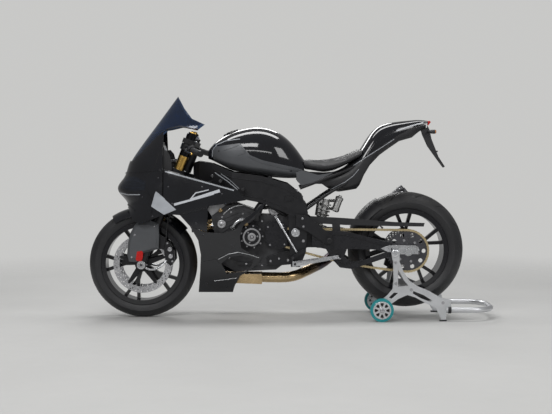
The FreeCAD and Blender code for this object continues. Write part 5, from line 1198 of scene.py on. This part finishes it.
# Handlebars and yokes: switch boxes, lever tips, fork caps, the brake reservoir, the yokes' nut and bolts.
FORK_SIDE, STEM_SET_BACK = 0.105, 0.03
LOWER_YOKE, UPPER_YOKE, YOKE_HALF, CLIP_ON, LEG_TOP = 0.548, 0.722, 0.013, 0.689, 0.763
BAR_HALF, BAR_SWEEP, BAR_DROP, GRIP_LENGTH, BAR_WEIGHT = 0.355, 0.09, 0.034, 0.12, 0.011


def leg_place(distance, side=FORK_SIDE, ahead=0.0):
    return FRONT_AXLE + UP_LEG * distance + BEFORE_LEG * ahead + LEFT * side


inner_end = leg_place(CLIP_ON) + LEFT * 0.03
outer_end = Vector((inner_end.x - BAR_SWEEP, BAR_HALF, inner_end.z - BAR_DROP))
bar_axis = (outer_end - inner_end).normalized()
box, perch, pot = (outer_end - bar_axis * (GRIP_LENGTH * grips + BAR_WEIGHT) for grips in (1.35, 1.2, 1.55))
tip = perch + FORWARD * 0.0165 * 1.9 + (bar_axis * 1.25 + FORWARD * 0.12) * GRIP_LENGTH
boxes, tips, yoke = Form(), Form(), Form()
for side in BOTH:
    axis = flipped(bar_axis, side)
    boxes.lathe(flipped(box + bar_axis * 0.003, side), axis,
                [(0, 0.015), (0.003, 0.0225), (0.014, 0.024), (0.026, 0.0235), (0.031, 0.018)], 20)
    for along in (0.01, 0.021):
        boxes.bolt(flipped(box + bar_axis * along - FORWARD * 0.008 + UP * 0.0215, side), UP - FORWARD * 0.3,
                   0.0045, 0.0035)
    boxes.tube([flipped(perch + FORWARD * ahead, side) for ahead in (0.008, 0.02, 0.036)], 0.0105, 14,
               lambda share: 1.0 - 0.3 * share)
    tips.lathe(flipped(tip - bar_axis * 0.006, side), axis,
               [(0, 0.003), (0.002, 0.0052), (0.006, 0.0064), (0.01, 0.0052), (0.0122, 0.0024)], 16)
    leg_top = leg_place(LEG_TOP + 0.01, side * FORK_SIDE)
    tips.lathe(leg_top - UP_LEG * 0.001, UP_LEG,
               [(0, 0.0185), (0.004, 0.0185), (0.005, 0.017), (0.005, 0)], 6)
    tips.lathe(leg_top + UP_LEG * 0.004, UP_LEG, [(0, 0.0095), (0.006, 0.0095), (0.007, 0.008)], 18)
    for rise in (UPPER_YOKE, LOWER_YOKE):
        yoke.bolt(leg_place(rise + YOKE_HALF, side * FORK_SIDE * 0.66, -0.03), -BEFORE_LEG, 0.0055, 0.006)
    for rise in (-0.01, 0.01):
        yoke.bolt(leg_place(rise, side * FORK_SIDE, -0.0255), -BEFORE_LEG, 0.0048, 0.005)
yoke.nut(leg_place(UPPER_YOKE + 0.026, 0, -STEM_SET_BACK) - UP_LEG * 0.002, UP_LEG, 0.0185, 0.01)
pots = Form()
pot = flipped(pot + FORWARD * 0.02 + UP * 0.012, -1)
pots.lathe(pot, UP,
           [(0, 0.013), (0.004, 0.018), (0.026, 0.018), (0.026, 0.0195), (0.032, 0.0195), (0.033, 0.017)], 28)
pots.tube([pot, pot - UP * 0.01 - FORWARD * 0.008, pot - UP * 0.012 - FORWARD * 0.018], 0.0055, 12)
boxes.piece("switch_boxes", PLASTIC, body="steering")
tips.piece("fork_caps", GOLD, body="steering")
pots.piece("brake_reservoir", PLASTIC, body="steering")
yoke.piece("yoke_bolts", BOLT, body="steering")

# Tail: signals on the bracket and a plate light.
SIGNAL_SIDE = 0.1125
signals, lenses = Form(), Form()
for side in BOTH:
    tip = spot(427.8, 132) + LEFT * side * (SIGNAL_SIDE + 0.004)
    signals.lathe(tip + FORWARD * 0.012, -FORWARD,
                  [(0, 0.003), (0.004, 0.0075), (0.012, 0.0105), (0.03, 0.0115), (0.034, 0.0112)], 20)
    lenses.lathe(tip - FORWARD * 0.0215, -FORWARD,
                 [(0, 0.0108), (0.004, 0.01), (0.007, 0.007), (0.0078, 0.003)], 20)
signals.plate(spot(435.5, 152), FORWARD, LEFT,
              ((0.004, -0.016), (0.004, 0.016), (-0.01, 0.012), (-0.01, -0.012)), UP * 0.008)
signals.piece("signal_bodies", PLASTIC)
lenses.piece("signal_lenses", AMBER)

# Studio: a pale floor that fades into the backdrop, a soft even world and five soft lamps.
FLOOR_Z, FLOOR_HALF = -0.0004, 14.0
FADE_START, FADE_END = 1.3, 4.4
BACKDROP = (0.58, 0.58, 0.57, 1)
LAMPS = (("key_lamp", (1.4, 3.6, 3.2), (2.8, 0.9), 74),
         ("rear_lamp", (-2.8, 2.8, 2.2), (1.2, 1.6), 32),
         ("top_lamp", (0.0, -0.4, 3.8), (3.8, 0.8), 80),
         ("strip_lamp", (0.2, 5.2, 2.1), (5.2, 0.22), 20),
         ("back_lamp", (0.6, -3.6, 2.6), (2.6, 0.8), 42))
LAMPS_AIM = Vector((0, 0, 0.5))

floor_data = bpy.data.meshes.new("floor")
floor_data.from_pydata([(FLOOR_HALF * across, FLOOR_HALF * along, FLOOR_Z) for across, along in
                        ((-1, -1), (1, -1), (1, 1), (-1, 1))], [], [(0, 1, 2, 3)])
ground = surface("studio_floor", (0.56, 0.56, 0.55), 0.75, tone=0.02, tone_scale=2.2, grain=0.15,
                 grain_scale=60, rough_span=0.08)
fade = ground.span(ground.reach(ground.axis("X"), ground.axis("Y")), 0, 1, FADE_START, FADE_END, "SMOOTHSTEP")
ground.set(ground.out, Surface=ground.blend(fade, ground.bsdf.outputs[0],
                                            ground.add("BsdfTransparent").outputs[0]))
floor_data.materials.append(ground.material)
added("floor", floor_data)

world = bpy.data.worlds.new("studio")
bpy.context.scene.world = world
world.use_nodes = True
sky = Nodes(world.node_tree)
even = sky.add("Background", Color=(1, 1, 1, 1), Strength=0.24)
pale = sky.add("Background", Color=BACKDROP, Strength=1.0)
path = sky.add("LightPath")
seen = sky.math("MAXIMUM", path.outputs["Is Camera Ray"], path.outputs["Is Transmission Ray"])
sky.add("OutputWorld", Surface=sky.blend(seen, even.outputs[0], pale.outputs[0]))

for name, place, size, power in LAMPS:
    lamp_data = bpy.data.lights.new(name, "AREA")
    lamp_data.shape = "RECTANGLE"
    lamp_data.size, lamp_data.size_y = size
    lamp_data.energy = power
    lamp = added(name, lamp_data)
    lamp.location = place
    lamp.rotation_euler = (LAMPS_AIM - lamp.location).to_track_quat("-Z", "Y").to_euler()

camera_data = bpy.data.cameras.new("photo_camera")
camera_data.lens = 75.1
camera_data.sensor_width = 36
camera = added("photo_camera", camera_data)
camera.location = EYE
camera.rotation_euler = (math.radians(90 - 2.93), 0, math.radians(180))
bpy.context.scene.camera = camera
bpy.context.scene.view_settings.view_transform = "Standard"
